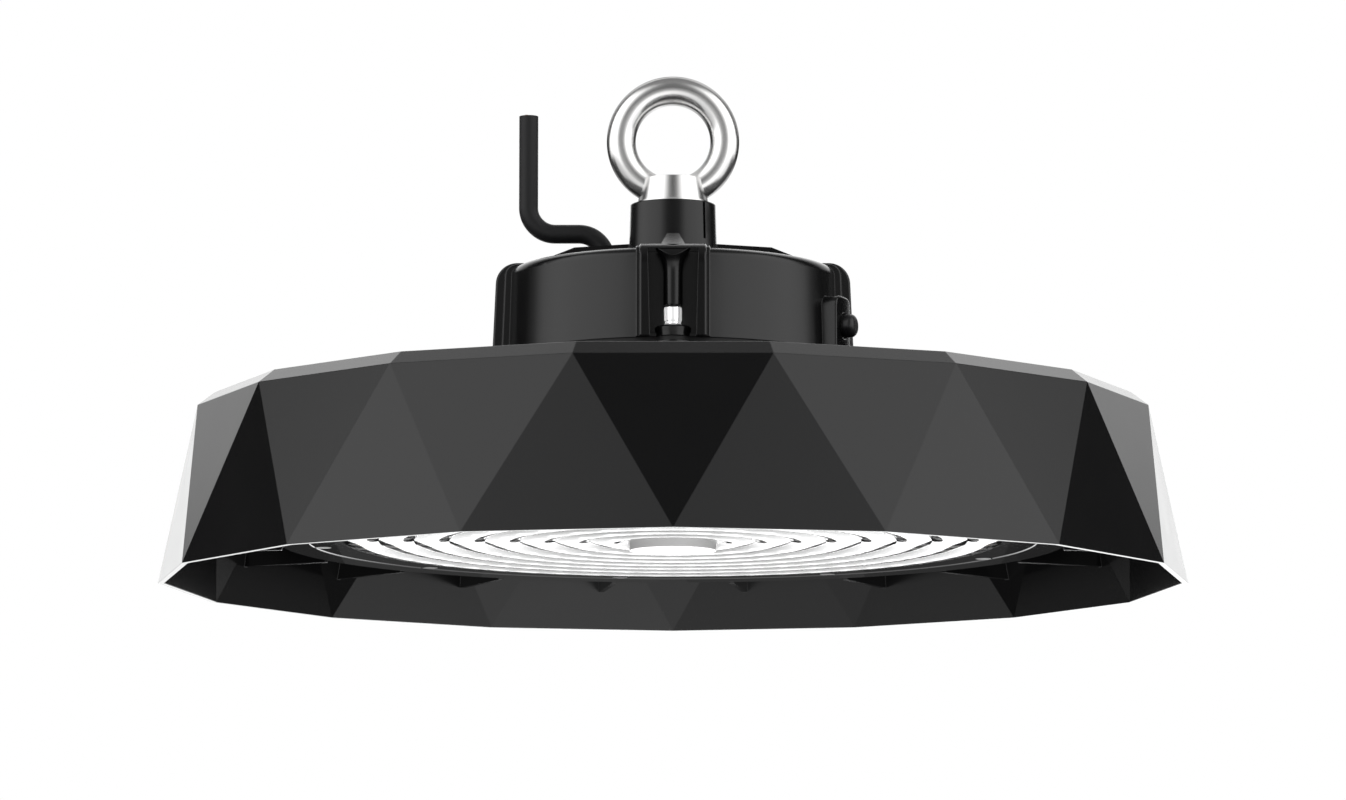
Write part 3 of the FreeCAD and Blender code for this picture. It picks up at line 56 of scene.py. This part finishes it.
# Floor, in metres. It lies far down, because the light hangs.
FLOOR_HEIGHT = -0.62
FLOOR_SIZE = 40.0

# Studio light by direction. Each row pairs a turn round the light with a share of the row's peak level.
# A turn is 0 on the camera's side and 1 on the far side.
STUDIO_PEAK = 2.0
STUDIO_LOW_PEAK = 2.3
LEVELS_AT_EYE = (
    (0.0, 0.15), (0.09, 0.15), (0.14, 0.36), (0.19, 0.66), (0.30, 0.72), (0.46, 0.72),
    (0.56, 0.56), (0.64, 0.08), (0.69, 0.0), (0.83, 0.0), (0.86, 0.35), (0.89, 1.0), (1.0, 1.0),
)
LEVELS_RAISED = (
    (0.0, 0.03), (0.08, 0.10), (0.13, 0.33), (0.20, 0.63), (0.30, 0.70), (0.42, 0.76), (0.54, 0.68),
    (0.58, 0.14), (0.61, 0.0), (0.70, 0.0), (0.74, 0.30), (0.79, 0.44), (0.88, 0.75), (1.0, 0.85),
)
LEVELS_LOW = (
    (0.0, 0.42), (0.08, 0.42), (0.16, 0.43), (0.25, 0.38), (0.31, 0.31), (0.40, 0.29), (0.46, 0.02),
    (0.72, 0.012), (0.82, 0.40), (0.90, 1.0),
)
# What the low row is multiplied by at the left and at the right, and the x of the directions between them
LOW_LEFT = 0.75
LOW_RIGHT = 1.25
LOW_SIDES = (-0.4, 0.4)
# Levels straight above and straight below
LEVEL_OVERHEAD = 0.2
LEVEL_UNDERFOOT = 1.1
# Elevations in degrees between which one row passes into the next
EYE_TO_RAISED = (11.0, 15.0)
EYE_TO_LOW = (-1.0, -7.0)
RAISED_TO_OVERHEAD = (46.0, 67.0)
LOW_TO_UNDERFOOT = (-30.0, -44.0)

# Lamps for the bright fasteners, in metres and degrees
LAMP_LIT_NODES = ("housing_screws", "housing_flat_washers", "housing_lock_washers")
LAMP_WIDTH = 2.4
LAMP_HEIGHT = 0.6
LAMP_DISTANCE = 1.2
LAMP_ELEVATION = 4.0
# Each lamp's turn from the front and its power in watts
LAMPS = ((-95.0, 32.0), (0.0, 3.0), (95.0, 32.0))

# Sockets of the mix node that only their place tells apart, and where a ramp's new element starts
MIX_NUMBERS = (2, 3)
MIX_COLOURS = (6, 7)
MIX_NUMBER_RESULT = 0
MIX_COLOUR_RESULT = 2
RAMP_START = 0.5

# Finishes: the radius of rounded edges and the depth of the grain in metres, patches and grains in each metre
Finish = namedtuple("Finish", "edge_radius patches grains grain_depth")
COATING_FINISH = Finish(0.0004, 60.0, 2600.0, 0.000006)
METAL_FINISH = Finish(0.0002, 220.0, 1800.0, 0.000003)
MOULDED_FINISH = Finish(0.0003, 150.0, 1500.0, 0.000006)
BOARD_FINISH = Finish(0.0002, 150.0, 1500.0, 0.000003)
BEVEL_SAMPLES = 6
NOISE_DETAIL = 2.0

# Black coating of the castings
COATING_COLOUR = (0.004, 0.004, 0.0042)
COATING_ROUGHNESS = (0.19, 0.22)
COATING_IOR = 1.5

# Metals: colour, and the lowest and highest roughness
METALS = {
    "polished_steel": ((0.95, 0.945, 0.94), (0.21, 0.26)),
    "zinc_steel": ((0.95, 0.95, 0.95), (0.30, 0.38)),
    "copper_winding": ((0.60, 0.27, 0.12), (0.3, 0.4)),
    "bare_aluminium": ((0.75, 0.75, 0.76), (0.3, 0.4)),
}

# Plastics, rubbers, ceramics and painted steel: colour and middle roughness
MOULDED = {
    "black_steel": ((0.015, 0.015, 0.015), 0.3),
    "black_rubber": ((0.012, 0.012, 0.012), 0.6),
    "grey_rubber": ((0.10, 0.10, 0.10), 0.6),
    "cord_jacket": ((0.014, 0.014, 0.015), 0.5),
    "black_plastic": ((0.011, 0.011, 0.012), 0.35),
    "white_plastic": ((0.80, 0.80, 0.78), 0.4),
    "green_plastic": ((0.05, 0.30, 0.12), 0.4),
    "driver_board": ((0.03, 0.16, 0.07), 0.35),
    "ferrite": ((0.05, 0.05, 0.05), 0.6),
    "winding_tape": ((0.80, 0.55, 0.06), 0.35),
    "capacitor_sleeve": ((0.02, 0.03, 0.07), 0.25),
    "film_capacitor": ((0.60, 0.42, 0.05), 0.3),
    "component_black": ((0.02, 0.02, 0.02), 0.5),
    "core_insulation": ((0.22, 0.09, 0.03), 0.4),
    "lead_insulation": ((0.55, 0.03, 0.02), 0.4),
}
MOULDED_SPREAD = 0.03

# Sockets that only some of these metals and mouldings set
SPECIAL_SOCKETS = {
    "polished_steel": {"Specular_Tint": (0.05, 0.05, 0.05, 1.0)},
    "cord_jacket": {"Specular_IOR_Level": 0.35},
}

# Light chips, which are yellow where their surface's normal points further down than this height
CHIP_PACKAGE = (0.85, 0.85, 0.82, 1.0)
CHIP_PHOSPHOR = (0.83, 0.52, 0.08, 1.0)
CHIP_FACES_DOWN = -0.5
CHIP_ROUGHNESS = 0.45

# Light board, white inside a radius in metres and black outside it
BOARD_WHITE_RADIUS = 0.1075
BOARD_WHITE = 0.76
BOARD_BORDER = 0.03
BOARD_ROUGHNESS = (0.6, 0.7)
BOARD_SPECULAR = 0.05

# Lens material, frosted inside one radius in metres and black outside another
FROSTED_RADIUS = 0.0156
FROSTED_TRANSMISSION = 0.3
LENS_CLEAR_RADIUS = 0.1115
LENS_TINT = 0.93
FLANGE_GREY = 0.035
LENS_ROUGHNESS = (0.02, 0.04)
LENS_PATCHES = 40.0
LENS_IOR = 1.58

# Lens, in millimetres. Rings hang below its valleys, and over each ring runs a groove, which loses a share
# of its depth between two lights.
LENS_RINGS = 8
LENS_PITCH = 12.0
LENS_FIRST_VALLEY = 16.0
LENS_VALLEY = 14.1
LENS_BULGE = 1.0
LENS_CEILING = 15.0
LENS_GROOVE = 0.5
LENS_GROOVE_LOSS = 0.3
LIGHT_PITCH = 12.2
# The disc in the lens's middle hangs lowest. Its wall leans out from the disc's radius to the wall's.
LENS_DISC_RADIUS = 14.7
LENS_DISC_WALL_RADIUS = 15.3
LENS_DISC_FLOOR = 11.1
LENS_DISC_CEILING = 13.0
# Where the disc's rows of vertices lie, as shares of its radius
LENS_DISC_ROWS = (0.25, 0.6, 0.9, 1.0)
# The flange from the last valley outwards and back over its top: radius and height
LENS_FLANGE = (
    (112.0, 14.2), (124.0, 14.2), (124.2, 14.0), (134.3, 13.9), (134.5, 14.1), (134.5, 16.9),
    (110.8, 16.9), (110.8, 15.0),
)
# Vertices round the lens, rows across each ring, and the angle in degrees from which an edge is sharp
LENS_COLUMNS = 324
LENS_ROWS = 12
LENS_SHARP_ANGLE = 32.0

# The lens's screws: their count, the first one's turn in degrees and their circle's radius in millimetres
LENS_SCREWS = 10
LENS_SCREW_FIRST = 9.0
LENS_SCREW_CIRCLE = 121.5
# Each step of a hole as radius, low and high
LENS_SCREW_HOLE = ((1.8, 13.0, 18.0), (3.05, 13.0, 15.9))
HOLE_SEGMENTS = 32

# Supply cord, in metres. Its route, in millimetres, is the CAD cord's with three more points on the runs.
CORD_DIAMETER = 0.0066
CORD_ROUTE = (
    (-23.2, 20.0, 102.0),
    (-23.2, 20.0, 109.95),
    (-23.2, 20.0, 117.65),
    (-28.65, 20.0, 123.1),
    (-36.55, 20.0, 123.1),
    (-44.45, 20.0, 123.1),
    (-49.9, 20.0, 128.55),
    (-49.9, 20.0, 136.25),
    (-49.9, 20.0, 164.3),
)
CORD_BEVEL_STEPS = 8
CORD_CURVE_STEPS = 16

# The cord's cut end, in millimetres: each core's layers as slot, radius and how far it stands out
CORE_COUNT = 3
CORE_SPREAD = 1.5
CORE_LAYERS = (("core_insulation", 1.1, 0.15), ("copper_winding", 0.7, 0.3))
CORE_SEGMENTS = 24


def direction_at(turn, elevation):
    """Unit vector at a turn from the front, towards +X, and an elevation, both in degrees."""
    turn = math.radians(turn)
    elevation = math.radians(elevation)
    return Vector((
        math.sin(turn) * math.cos(elevation),
        -math.cos(turn) * math.cos(elevation),
        math.sin(elevation),
    ))


def add_object(name, data):
    """A new object in the scene."""
    added = bpy.data.objects.new(name, data)
    bpy.context.scene.collection.objects.link(added)
    return added


def make_camera():
    """The photograph's camera: far off, slightly under the rim, looking up at the light."""
    data = bpy.data.cameras.new("camera")
    data.lens = CAMERA_LENS
    data.sensor_width = SENSOR_WIDTH
    data.clip_end = CAMERA_REACH
    camera = add_object("camera", data)
    camera.location = direction_at(0.0, -CAMERA_BELOW) * CAMERA_DISTANCE
    camera.rotation_euler = (math.radians(90.0 + CAMERA_PITCH), 0.0, 0.0)
    bpy.context.scene.camera = camera


class Shader:
    """A node tree under construction. Values are sockets or plain numbers."""

    def __init__(self, tree):
        self.nodes = tree.nodes
        self.links = tree.links

    def add(self, kind, **settings):
        """A new node with its settings."""
        node = self.nodes.new(kind)
        for key, value in settings.items():
            setattr(node, key, value)
        return node

    def wire(self, source, target):
        """Links an output to an input."""
        self.links.new(source, target)

    def feed(self, value, target):
        """Sets an input to a number or links it to a socket."""
        if isinstance(value, (int, float)):
            target.default_value = value
        else:
            self.wire(value, target)

    def math(self, operation, first, second=None):
        """The result of an operation on one value or two."""
        node = self.add("ShaderNodeMath", operation=operation)
        self.feed(first, node.inputs[0])
        if second is not None:
            self.feed(second, node.inputs[1])
        return node.outputs[0]

    def length(self, x, y):
        """The length of a flat vector."""
        squares = self.math("ADD", self.math("MULTIPLY", x, x), self.math("MULTIPLY", y, y))
        return self.math("SQRT", squares)

    def split(self, vector):
        """The x, y and z of a vector."""
        node = self.add("ShaderNodeSeparateXYZ")
        self.wire(vector, node.inputs[0])
        return node.outputs

    def blend(self, share, first, second):
        """The first value where the share is 0 and the second where it is 1."""
        mix = self.add("ShaderNodeMix", data_type="FLOAT")
        self.feed(share, mix.inputs["Factor"])
        for value, place in zip((first, second), MIX_NUMBERS):
            self.feed(value, mix.inputs[place])
        return mix.outputs[MIX_NUMBER_RESULT]

    def blend_colours(self, share, first, second):
        """The first colour where the share is 0 and the second where it is 1."""
        mix = self.add("ShaderNodeMix", data_type="RGBA")
        self.wire(share, mix.inputs["Factor"])
        for colour, place in zip((first, second), MIX_COLOURS):
            mix.inputs[place].default_value = colour
        return mix.outputs[MIX_COLOUR_RESULT]

    def between(self, value, limits):
        """A share that passes smoothly from 0 at the first limit to 1 at the second."""
        node = self.add("ShaderNodeMapRange", interpolation_type="SMOOTHSTEP")
        self.wire(value, node.inputs["Value"])
        for name, limit in zip(("From Min", "From Max"), limits):
            node.inputs[name].default_value = limit
        return node.outputs[0]

    def curve(self, value, points):
        """A smooth function of a value from 0 to 1, through pairs of place and level."""
        node = self.add("ShaderNodeValToRGB")
        ramp = node.color_ramp
        ramp.interpolation = "EASE"
        while len(ramp.elements) < len(points):
            ramp.elements.new(RAMP_START)
        for element, (place, level) in zip(ramp.elements, points):
            element.position = place
            element.color = (level, level, level, 1.0)
        self.wire(value, node.inputs[0])
        return node.outputs[0]


def studio_level(shader, direction):
    """Brightness of the studio in a direction: dark at the camera, bright at the sides, white behind."""
    x, y, z = shader.split(direction)
    across = shader.math("ABSOLUTE", x)
    towards_camera = shader.math("MULTIPLY", y, -1.0)
    turn = shader.math("DIVIDE", shader.math("ARCTAN2", across, towards_camera), math.pi)
    elevation = shader.math("DEGREES", shader.math("ARCTAN2", z, shader.length(x, y)))
    level = shader.curve(turn, LEVELS_AT_EYE)
    level = shader.blend(shader.between(elevation, EYE_TO_RAISED), level, shader.curve(turn, LEVELS_RAISED))
    level = shader.math("MULTIPLY", level, STUDIO_PEAK)
    low = shader.math("MULTIPLY", shader.curve(turn, LEVELS_LOW), STUDIO_LOW_PEAK)
    low = shader.math("MULTIPLY", low, shader.blend(shader.between(x, LOW_SIDES), LOW_LEFT, LOW_RIGHT))
    level = shader.blend(shader.between(elevation, EYE_TO_LOW), level, low)
    level = shader.blend(shader.between(elevation, RAISED_TO_OVERHEAD), level, LEVEL_OVERHEAD)
    return shader.blend(shader.between(elevation, LOW_TO_UNDERFOOT), level, LEVEL_UNDERFOOT)


def white_to_camera(shader, level):
    """The level for most rays, and plain white for what the camera sees directly or through glass."""
    path = shader.add("ShaderNodeLightPath")
    direct = shader.math("MAXIMUM", path.outputs["Is Camera Ray"], path.outputs["Is Transmission Ray"])
    return shader.blend(direct, level, 1.0)


def make_world():
    """White background with the studio's light for reflections and shading."""
    world = bpy.data.worlds.new("studio")
    world.use_nodes = True
    bpy.context.scene.world = world
    shader = Shader(world.node_tree)
    background = shader.nodes["Background"]
    background.inputs["Color"].default_value = WHITE
    direction = shader.add("ShaderNodeTexCoord").outputs["Generated"]
    level = studio_level(shader, direction)
    shader.wire(white_to_camera(shader, level), background.inputs["Strength"])


def floor_material():
    """Each place is as bright as the studio in its direction. The floor is clear from underneath."""
    material = bpy.data.materials.new("floor")
    material.use_nodes = True
    shader = Shader(material.node_tree)
    shader.nodes.remove(shader.nodes["Principled BSDF"])
    geometry = shader.add("ShaderNodeNewGeometry")
    direction = shader.add("ShaderNodeVectorMath", operation="NORMALIZE")
    shader.wire(geometry.outputs["Position"], direction.inputs[0])
    emission = shader.add("ShaderNodeEmission")
    emission.inputs["Color"].default_value = WHITE
    level = studio_level(shader, direction.outputs[0])
    shader.wire(white_to_camera(shader, level), emission.inputs["Strength"])
    clear = shader.add("ShaderNodeBsdfTransparent")
    either = shader.add("ShaderNodeMixShader")
    shader.wire(geometry.outputs["Backfacing"], either.inputs[0])
    shader.wire(emission.outputs[0], either.inputs[1])
    shader.wire(clear.outputs[0], either.inputs[2])
    shader.wire(either.outputs[0], shader.nodes["Material Output"].inputs["Surface"])
    return material


def make_floor():
    """Pale floor under the hanging light. It isn't there for a camera under it."""
    half = FLOOR_SIZE / 2
    corners = [(x * half, y * half, FLOOR_HEIGHT) for x, y in ((-1, -1), (1, -1), (1, 1), (-1, 1))]
    mesh = bpy.data.meshes.new("floor")
    mesh.from_pydata(corners, [], [(0, 1, 2, 3)])
    mesh.materials.append(floor_material())
    floor = add_object("floor", mesh)


def make_fastener_lamps():
    """Broad lamps that light the bright fasteners in their dark pockets, and nothing else."""
    lit = bpy.data.collections.new("bright_fasteners")
    for name in LAMP_LIT_NODES:
        lit.objects.link(frame["nodes"][name])
    for turn, power in LAMPS:
        data = bpy.data.lights.new("fastener_lamp", "AREA")
        data.shape = "RECTANGLE"
        data.size = LAMP_WIDTH
        data.size_y = LAMP_HEIGHT
        data.energy = power
        lamp = add_object("fastener_lamp", data)
        lamp.location = direction_at(turn, LAMP_ELEVATION) * LAMP_DISTANCE
        lamp.rotation_euler = (math.radians(90.0 - LAMP_ELEVATION), 0.0, math.radians(turn))
        lamp.light_linking.receiver_collection = lit
        lamp.light_linking.blocker_collection = lit


def new_material(name, **settings):
    """A Principled material with plain socket values. Gives the material, its shader and its surface."""
    material = bpy.data.materials.new(name)
    material.use_nodes = True
    shader = Shader(material.node_tree)
    surface = shader.nodes["Principled BSDF"]
    for key, value in settings.items():
        surface.inputs[key.replace("_", " ")].default_value = value
    return material, shader, surface


def fine_noise(shader, scale):
    """Noise in the object's own metres."""
    noise = shader.add("ShaderNodeTexNoise")
    noise.inputs["Scale"].default_value = scale
    noise.inputs["Detail"].default_value = NOISE_DETAIL
    shader.wire(shader.add("ShaderNodeTexCoord").outputs["Object"], noise.inputs["Vector"])
    return noise.outputs["Fac"]


def distance_from_axis(shader):
    """Distance from the light's upright axis in metres."""
    x, y, _height = shader.split(shader.add("ShaderNodeTexCoord").outputs["Object"])
    return shader.length(x, y)


def vary_roughness(shader, surface, limits, patches):
    """Roughness that wanders slowly between two values."""
    spread = shader.add("ShaderNodeMapRange")
    shader.wire(fine_noise(shader, patches), spread.inputs["Value"])
    for name, limit in zip(("To Min", "To Max"), limits):
        spread.inputs[name].default_value = limit
    shader.wire(spread.outputs[0], surface.inputs["Roughness"])


def shape_surface(shader, surface, finish):
    """Rounded edges and a fine grain in the surface's normal."""
    bevel = shader.add("ShaderNodeBevel", samples=BEVEL_SAMPLES)
    bevel.inputs["Radius"].default_value = finish.edge_radius
    bump = shader.add("ShaderNodeBump")
    bump.inputs["Strength"].default_value = 1.0
    bump.inputs["Distance"].default_value = finish.grain_depth
    shader.wire(fine_noise(shader, finish.grains), bump.inputs["Height"])
    shader.wire(bevel.outputs[0], bump.inputs["Normal"])
    shader.wire(bump.outputs[0], surface.inputs["Normal"])


def give_finish(shader, surface, roughness, finish):
    """Wandering roughness, rounded edges and grain."""
    vary_roughness(shader, surface, roughness, finish.patches)
    shape_surface(shader, surface, finish)


def black_coating():
    """Satin black coating on a casting."""
    material, shader, surface = new_material(
        "black_coating", Base_Color=COATING_COLOUR + (1.0,), IOR=COATING_IOR
    )
    give_finish(shader, surface, COATING_ROUGHNESS, COATING_FINISH)
    return material


def metal(name):
    """Bright metal with a faint grain."""
    colour, roughness = METALS[name]
    special = SPECIAL_SOCKETS.get(name, {})
    material, shader, surface = new_material(name, Base_Color=colour + (1.0,), Metallic=1.0, **special)
    give_finish(shader, surface, roughness, METAL_FINISH)
    return material


def moulded(name):
    """Moulded plastic, rubber, ceramic or painted steel with a faint grain."""
    colour, roughness = MOULDED[name]
    special = SPECIAL_SOCKETS.get(name, {})
    material, shader, surface = new_material(name, Base_Color=colour + (1.0,), **special)
    limits = (roughness - MOULDED_SPREAD, roughness + MOULDED_SPREAD)
    give_finish(shader, surface, limits, MOULDED_FINISH)
    return material


def light_chip():
    """White package whose underside is yellow."""
    material, shader, surface = new_material("light_chip", Roughness=CHIP_ROUGHNESS)
    _x, _y, upward = shader.split(shader.add("ShaderNodeNewGeometry").outputs["Normal"])
    down = shader.math("LESS_THAN", upward, CHIP_FACES_DOWN)
    colour = shader.blend_colours(down, CHIP_PACKAGE, CHIP_PHOSPHOR)
    shader.wire(colour, surface.inputs["Base Color"])
    return material


def light_board():
    """White solder mask with a black border round its rim."""
    material, shader, surface = new_material("white_board", Specular_IOR_Level=BOARD_SPECULAR)
    rim = shader.math("GREATER_THAN", distance_from_axis(shader), BOARD_WHITE_RADIUS)
    shader.wire(shader.blend(rim, BOARD_WHITE, BOARD_BORDER), surface.inputs["Base Color"])
    give_finish(shader, surface, BOARD_ROUGHNESS, BOARD_FINISH)
    return material


def clear_plastic():
    """Clear moulded lens with a frosted middle and a black flange."""
    material, shader, surface = new_material("clear_lens", Transmission_Weight=1.0, IOR=LENS_IOR)
    vary_roughness(shader, surface, LENS_ROUGHNESS, LENS_PATCHES)
    distance = distance_from_axis(shader)
    middle = shader.math("LESS_THAN", distance, FROSTED_RADIUS)
    flange = shader.math("GREATER_THAN", distance, LENS_CLEAR_RADIUS)
    clear = shader.blend(flange, 1.0, 0.0)
    transmission = shader.blend(middle, clear, FROSTED_TRANSMISSION)
    shader.wire(transmission, surface.inputs["Transmission Weight"])
    shader.wire(shader.blend(flange, LENS_TINT, FLANGE_GREY), surface.inputs["Base Color"])
    return material


def slot_materials():
    """One material for each slot of the record."""
    materials = {
        "black_coating": black_coating(),
        "light_chip": light_chip(),
        "white_board": light_board(),
        "clear_lens": clear_plastic(),
    }
    materials.update({name: metal(name) for name in METALS})
    materials.update({name: moulded(name) for name in MOULDED})
    return materials


def dress_cad_nodes(materials):
    """Gives every CAD node the material of its slot."""
    slots = {entry["node"]: entry["material_slot"] for entry in frame["record"]["subparts"]}
    for name, node in frame["nodes"].items():
        node.data.materials.clear()
        node.data.materials.append(materials[slots[name]])


def mesh_object(name, mesh):
    """A new object with a finished mesh."""
    data = bpy.data.meshes.new(name)
    mesh.to_mesh(data)
    mesh.free()
    return add_object(name, data)


def add_cylinder(mesh, centre, radius, height, segments):
    """An upright closed cylinder round a centre, in millimetres."""
    bmesh.ops.create_cone(
        mesh, cap_ends=True, segments=segments, radius1=radius * MM, radius2=radius * MM,
        depth=height * MM, matrix=Matrix.Translation(Vector(centre) * MM),
    )


def add_row(mesh, radius, height):
    """A closed row of vertices round the axis. Its height is a function of radius and angle."""
    row = []
    for column in range(LENS_COLUMNS):
        angle = 2 * math.pi * column / LENS_COLUMNS
        place = (radius * math.sin(angle), -radius * math.cos(angle), height(radius, angle))
        row.append(mesh.verts.new(tuple(value * MM for value in place)))
    return row


def join_rows(mesh, rows):
    """Faces between each two neighbouring rows."""
    for inner, outer in zip(rows, rows[1:]):
        for column in range(len(inner)):
            following = (column + 1) % len(inner)
            mesh.faces.new((inner[column], outer[column], outer[following], inner[following]))


def nearest_ring(radius):
    """Radius of the middle of the ring that a place of the lens belongs to."""
    ring = min(LENS_RINGS - 1, int((radius - LENS_FIRST_VALLEY) / LENS_PITCH))
    return LENS_FIRST_VALLEY + LENS_PITCH * (ring + 0.5)


def ring_bulge(radius):
    """Share of the full bulge at a radius, 0 in a valley and 1 in the middle of a ring."""
    return max(0.0, 1.0 - ((radius - nearest_ring(radius)) / (LENS_PITCH / 2)) ** 2)


def underside(radius, _angle):
    """Height of the lens's underside inside its flange."""
    if radius <= LENS_DISC_RADIUS:
        return LENS_DISC_FLOOR
    return LENS_VALLEY - LENS_BULGE * ring_bulge(radius)


def topside(radius, angle):
    """Height of the lens's upper side, with a groove over each ring that is deepest at each light."""
    if radius <= LENS_DISC_RADIUS:
        return LENS_DISC_CEILING
    lights = int(2 * math.pi * nearest_ring(radius) / LIGHT_PITCH)
    off_light = 0.5 - 0.5 * math.cos(lights * angle)
    depth = LENS_GROOVE * (1.0 - LENS_GROOVE_LOSS * off_light)
    return LENS_CEILING - depth * ring_bulge(radius) ** 2


def lens_radii():
    """Radii of the rows inside the flange, closer together at the valleys."""
    radii = [LENS_DISC_RADIUS * share for share in LENS_DISC_ROWS] + [LENS_DISC_WALL_RADIUS]
    for ring in range(LENS_RINGS):
        middle = LENS_FIRST_VALLEY + LENS_PITCH * (ring + 0.5)
        for k in range(LENS_ROWS):
            radii.append(middle - LENS_PITCH / 2 * math.cos(math.pi * k / LENS_ROWS))
    return radii + [LENS_FIRST_VALLEY + LENS_PITCH * LENS_RINGS]


def lens_mesh():
    """The lens as one closed skin of rows round its axis."""
    mesh = bmesh.new()
    radii = lens_radii()
    lower = [add_row(mesh, radius, underside) for radius in radii]
    for radius, height in LENS_FLANGE:
        lower.append(add_row(mesh, radius, lambda _radius, _angle: height))
    upper = [add_row(mesh, radius, topside) for radius in radii]
    join_rows(mesh, lower)
    join_rows(mesh, upper)
    join_rows(mesh, [upper[-1], lower[-1]])
    mesh.faces.new(lower[0])
    mesh.faces.new(upper[0])
    bmesh.ops.recalc_face_normals(mesh, faces=mesh.faces)
    return mesh


def cut_screw_holes(lens):
    """Takes a stepped hole for each screw out of the lens's flange."""
    cutter = bmesh.new()
    for k in range(LENS_SCREWS):
        angle = 2 * math.pi * (k / LENS_SCREWS) + math.radians(LENS_SCREW_FIRST)
        x = LENS_SCREW_CIRCLE * math.sin(angle)
        y = -LENS_SCREW_CIRCLE * math.cos(angle)
        for radius, low, high in LENS_SCREW_HOLE:
            add_cylinder(cutter, (x, y, (low + high) / 2), radius, high - low, HOLE_SEGMENTS)
    holes = mesh_object("lens_holes", cutter)
    boolean = lens.modifiers.new("holes", "BOOLEAN")
    boolean.object = holes
    boolean.operation = "DIFFERENCE"
    boolean.solver = "FAST"
    graph = bpy.context.evaluated_depsgraph_get()
    cut = bpy.data.meshes.new_from_object(lens.evaluated_get(graph))
    lens.modifiers.clear()
    lens.data = cut
    bpy.data.objects.remove(holes)


def ring_lens(material):
    """The clear lens with a rounded ring under each row of lights."""
    lens = mesh_object("ring_lens", lens_mesh())
    lens.data.materials.append(material)
    cut_screw_holes(lens)
    lens.data.polygons.foreach_set("use_smooth", [True] * len(lens.data.polygons))
    lens.data.set_sharp_from_angle(angle=math.radians(LENS_SHARP_ANGLE))
    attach(lens, "root")
    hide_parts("lens")


def cord_end(materials):
    """The cut face of the cord: three cores of copper strands in their insulation."""
    pieces = []
    x, y, z = CORD_ROUTE[-1]
    for k in range(CORE_COUNT):
        angle = 2 * math.pi * k / CORE_COUNT
        core_x = x + CORE_SPREAD * math.cos(angle)
        core_y = y + CORE_SPREAD * math.sin(angle)
        for slot, radius, rise in CORE_LAYERS:
            mesh = bmesh.new()
            add_cylinder(mesh, (core_x, core_y, z + rise / 2), radius, rise, CORE_SEGMENTS)
            piece = mesh_object(f"cord_core_{k}_{slot}", mesh)
            piece.data.materials.append(materials[slot])
            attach(piece, "root")
            pieces.append(piece)
    return pieces


def cord_curve():
    """One smooth round curve along the cord's route, closed at its ends."""
    curve = bpy.data.curves.new("cord", "CURVE")
    curve.dimensions = "3D"
    curve.bevel_depth = CORD_DIAMETER / 2
    curve.bevel_resolution = CORD_BEVEL_STEPS
    curve.resolution_u = CORD_CURVE_STEPS
    curve.use_fill_caps = True
    spline = curve.splines.new("NURBS")
    spline.points.add(len(CORD_ROUTE) - 1)
    for point, place in zip(spline.points, CORD_ROUTE):
        point.co = tuple(value * MM for value in place) + (1.0,)
    spline.order_u = 3
    spline.use_endpoint_u = True
    return curve


def supply_cord(materials):
    """The short cord, cut off square at its upper end."""
    cord = add_object("cord", cord_curve())
    cord.data.materials.append(materials["cord_jacket"])
    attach(cord, "root")
    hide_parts("supply_cord")
    cord_end(materials)


bpy.context.scene.view_settings.view_transform = "Standard"
make_camera()
make_world()
make_floor()
make_fastener_lamps()
materials = slot_materials()
dress_cad_nodes(materials)
ring_lens(materials["clear_lens"])
supply_cord(materials)
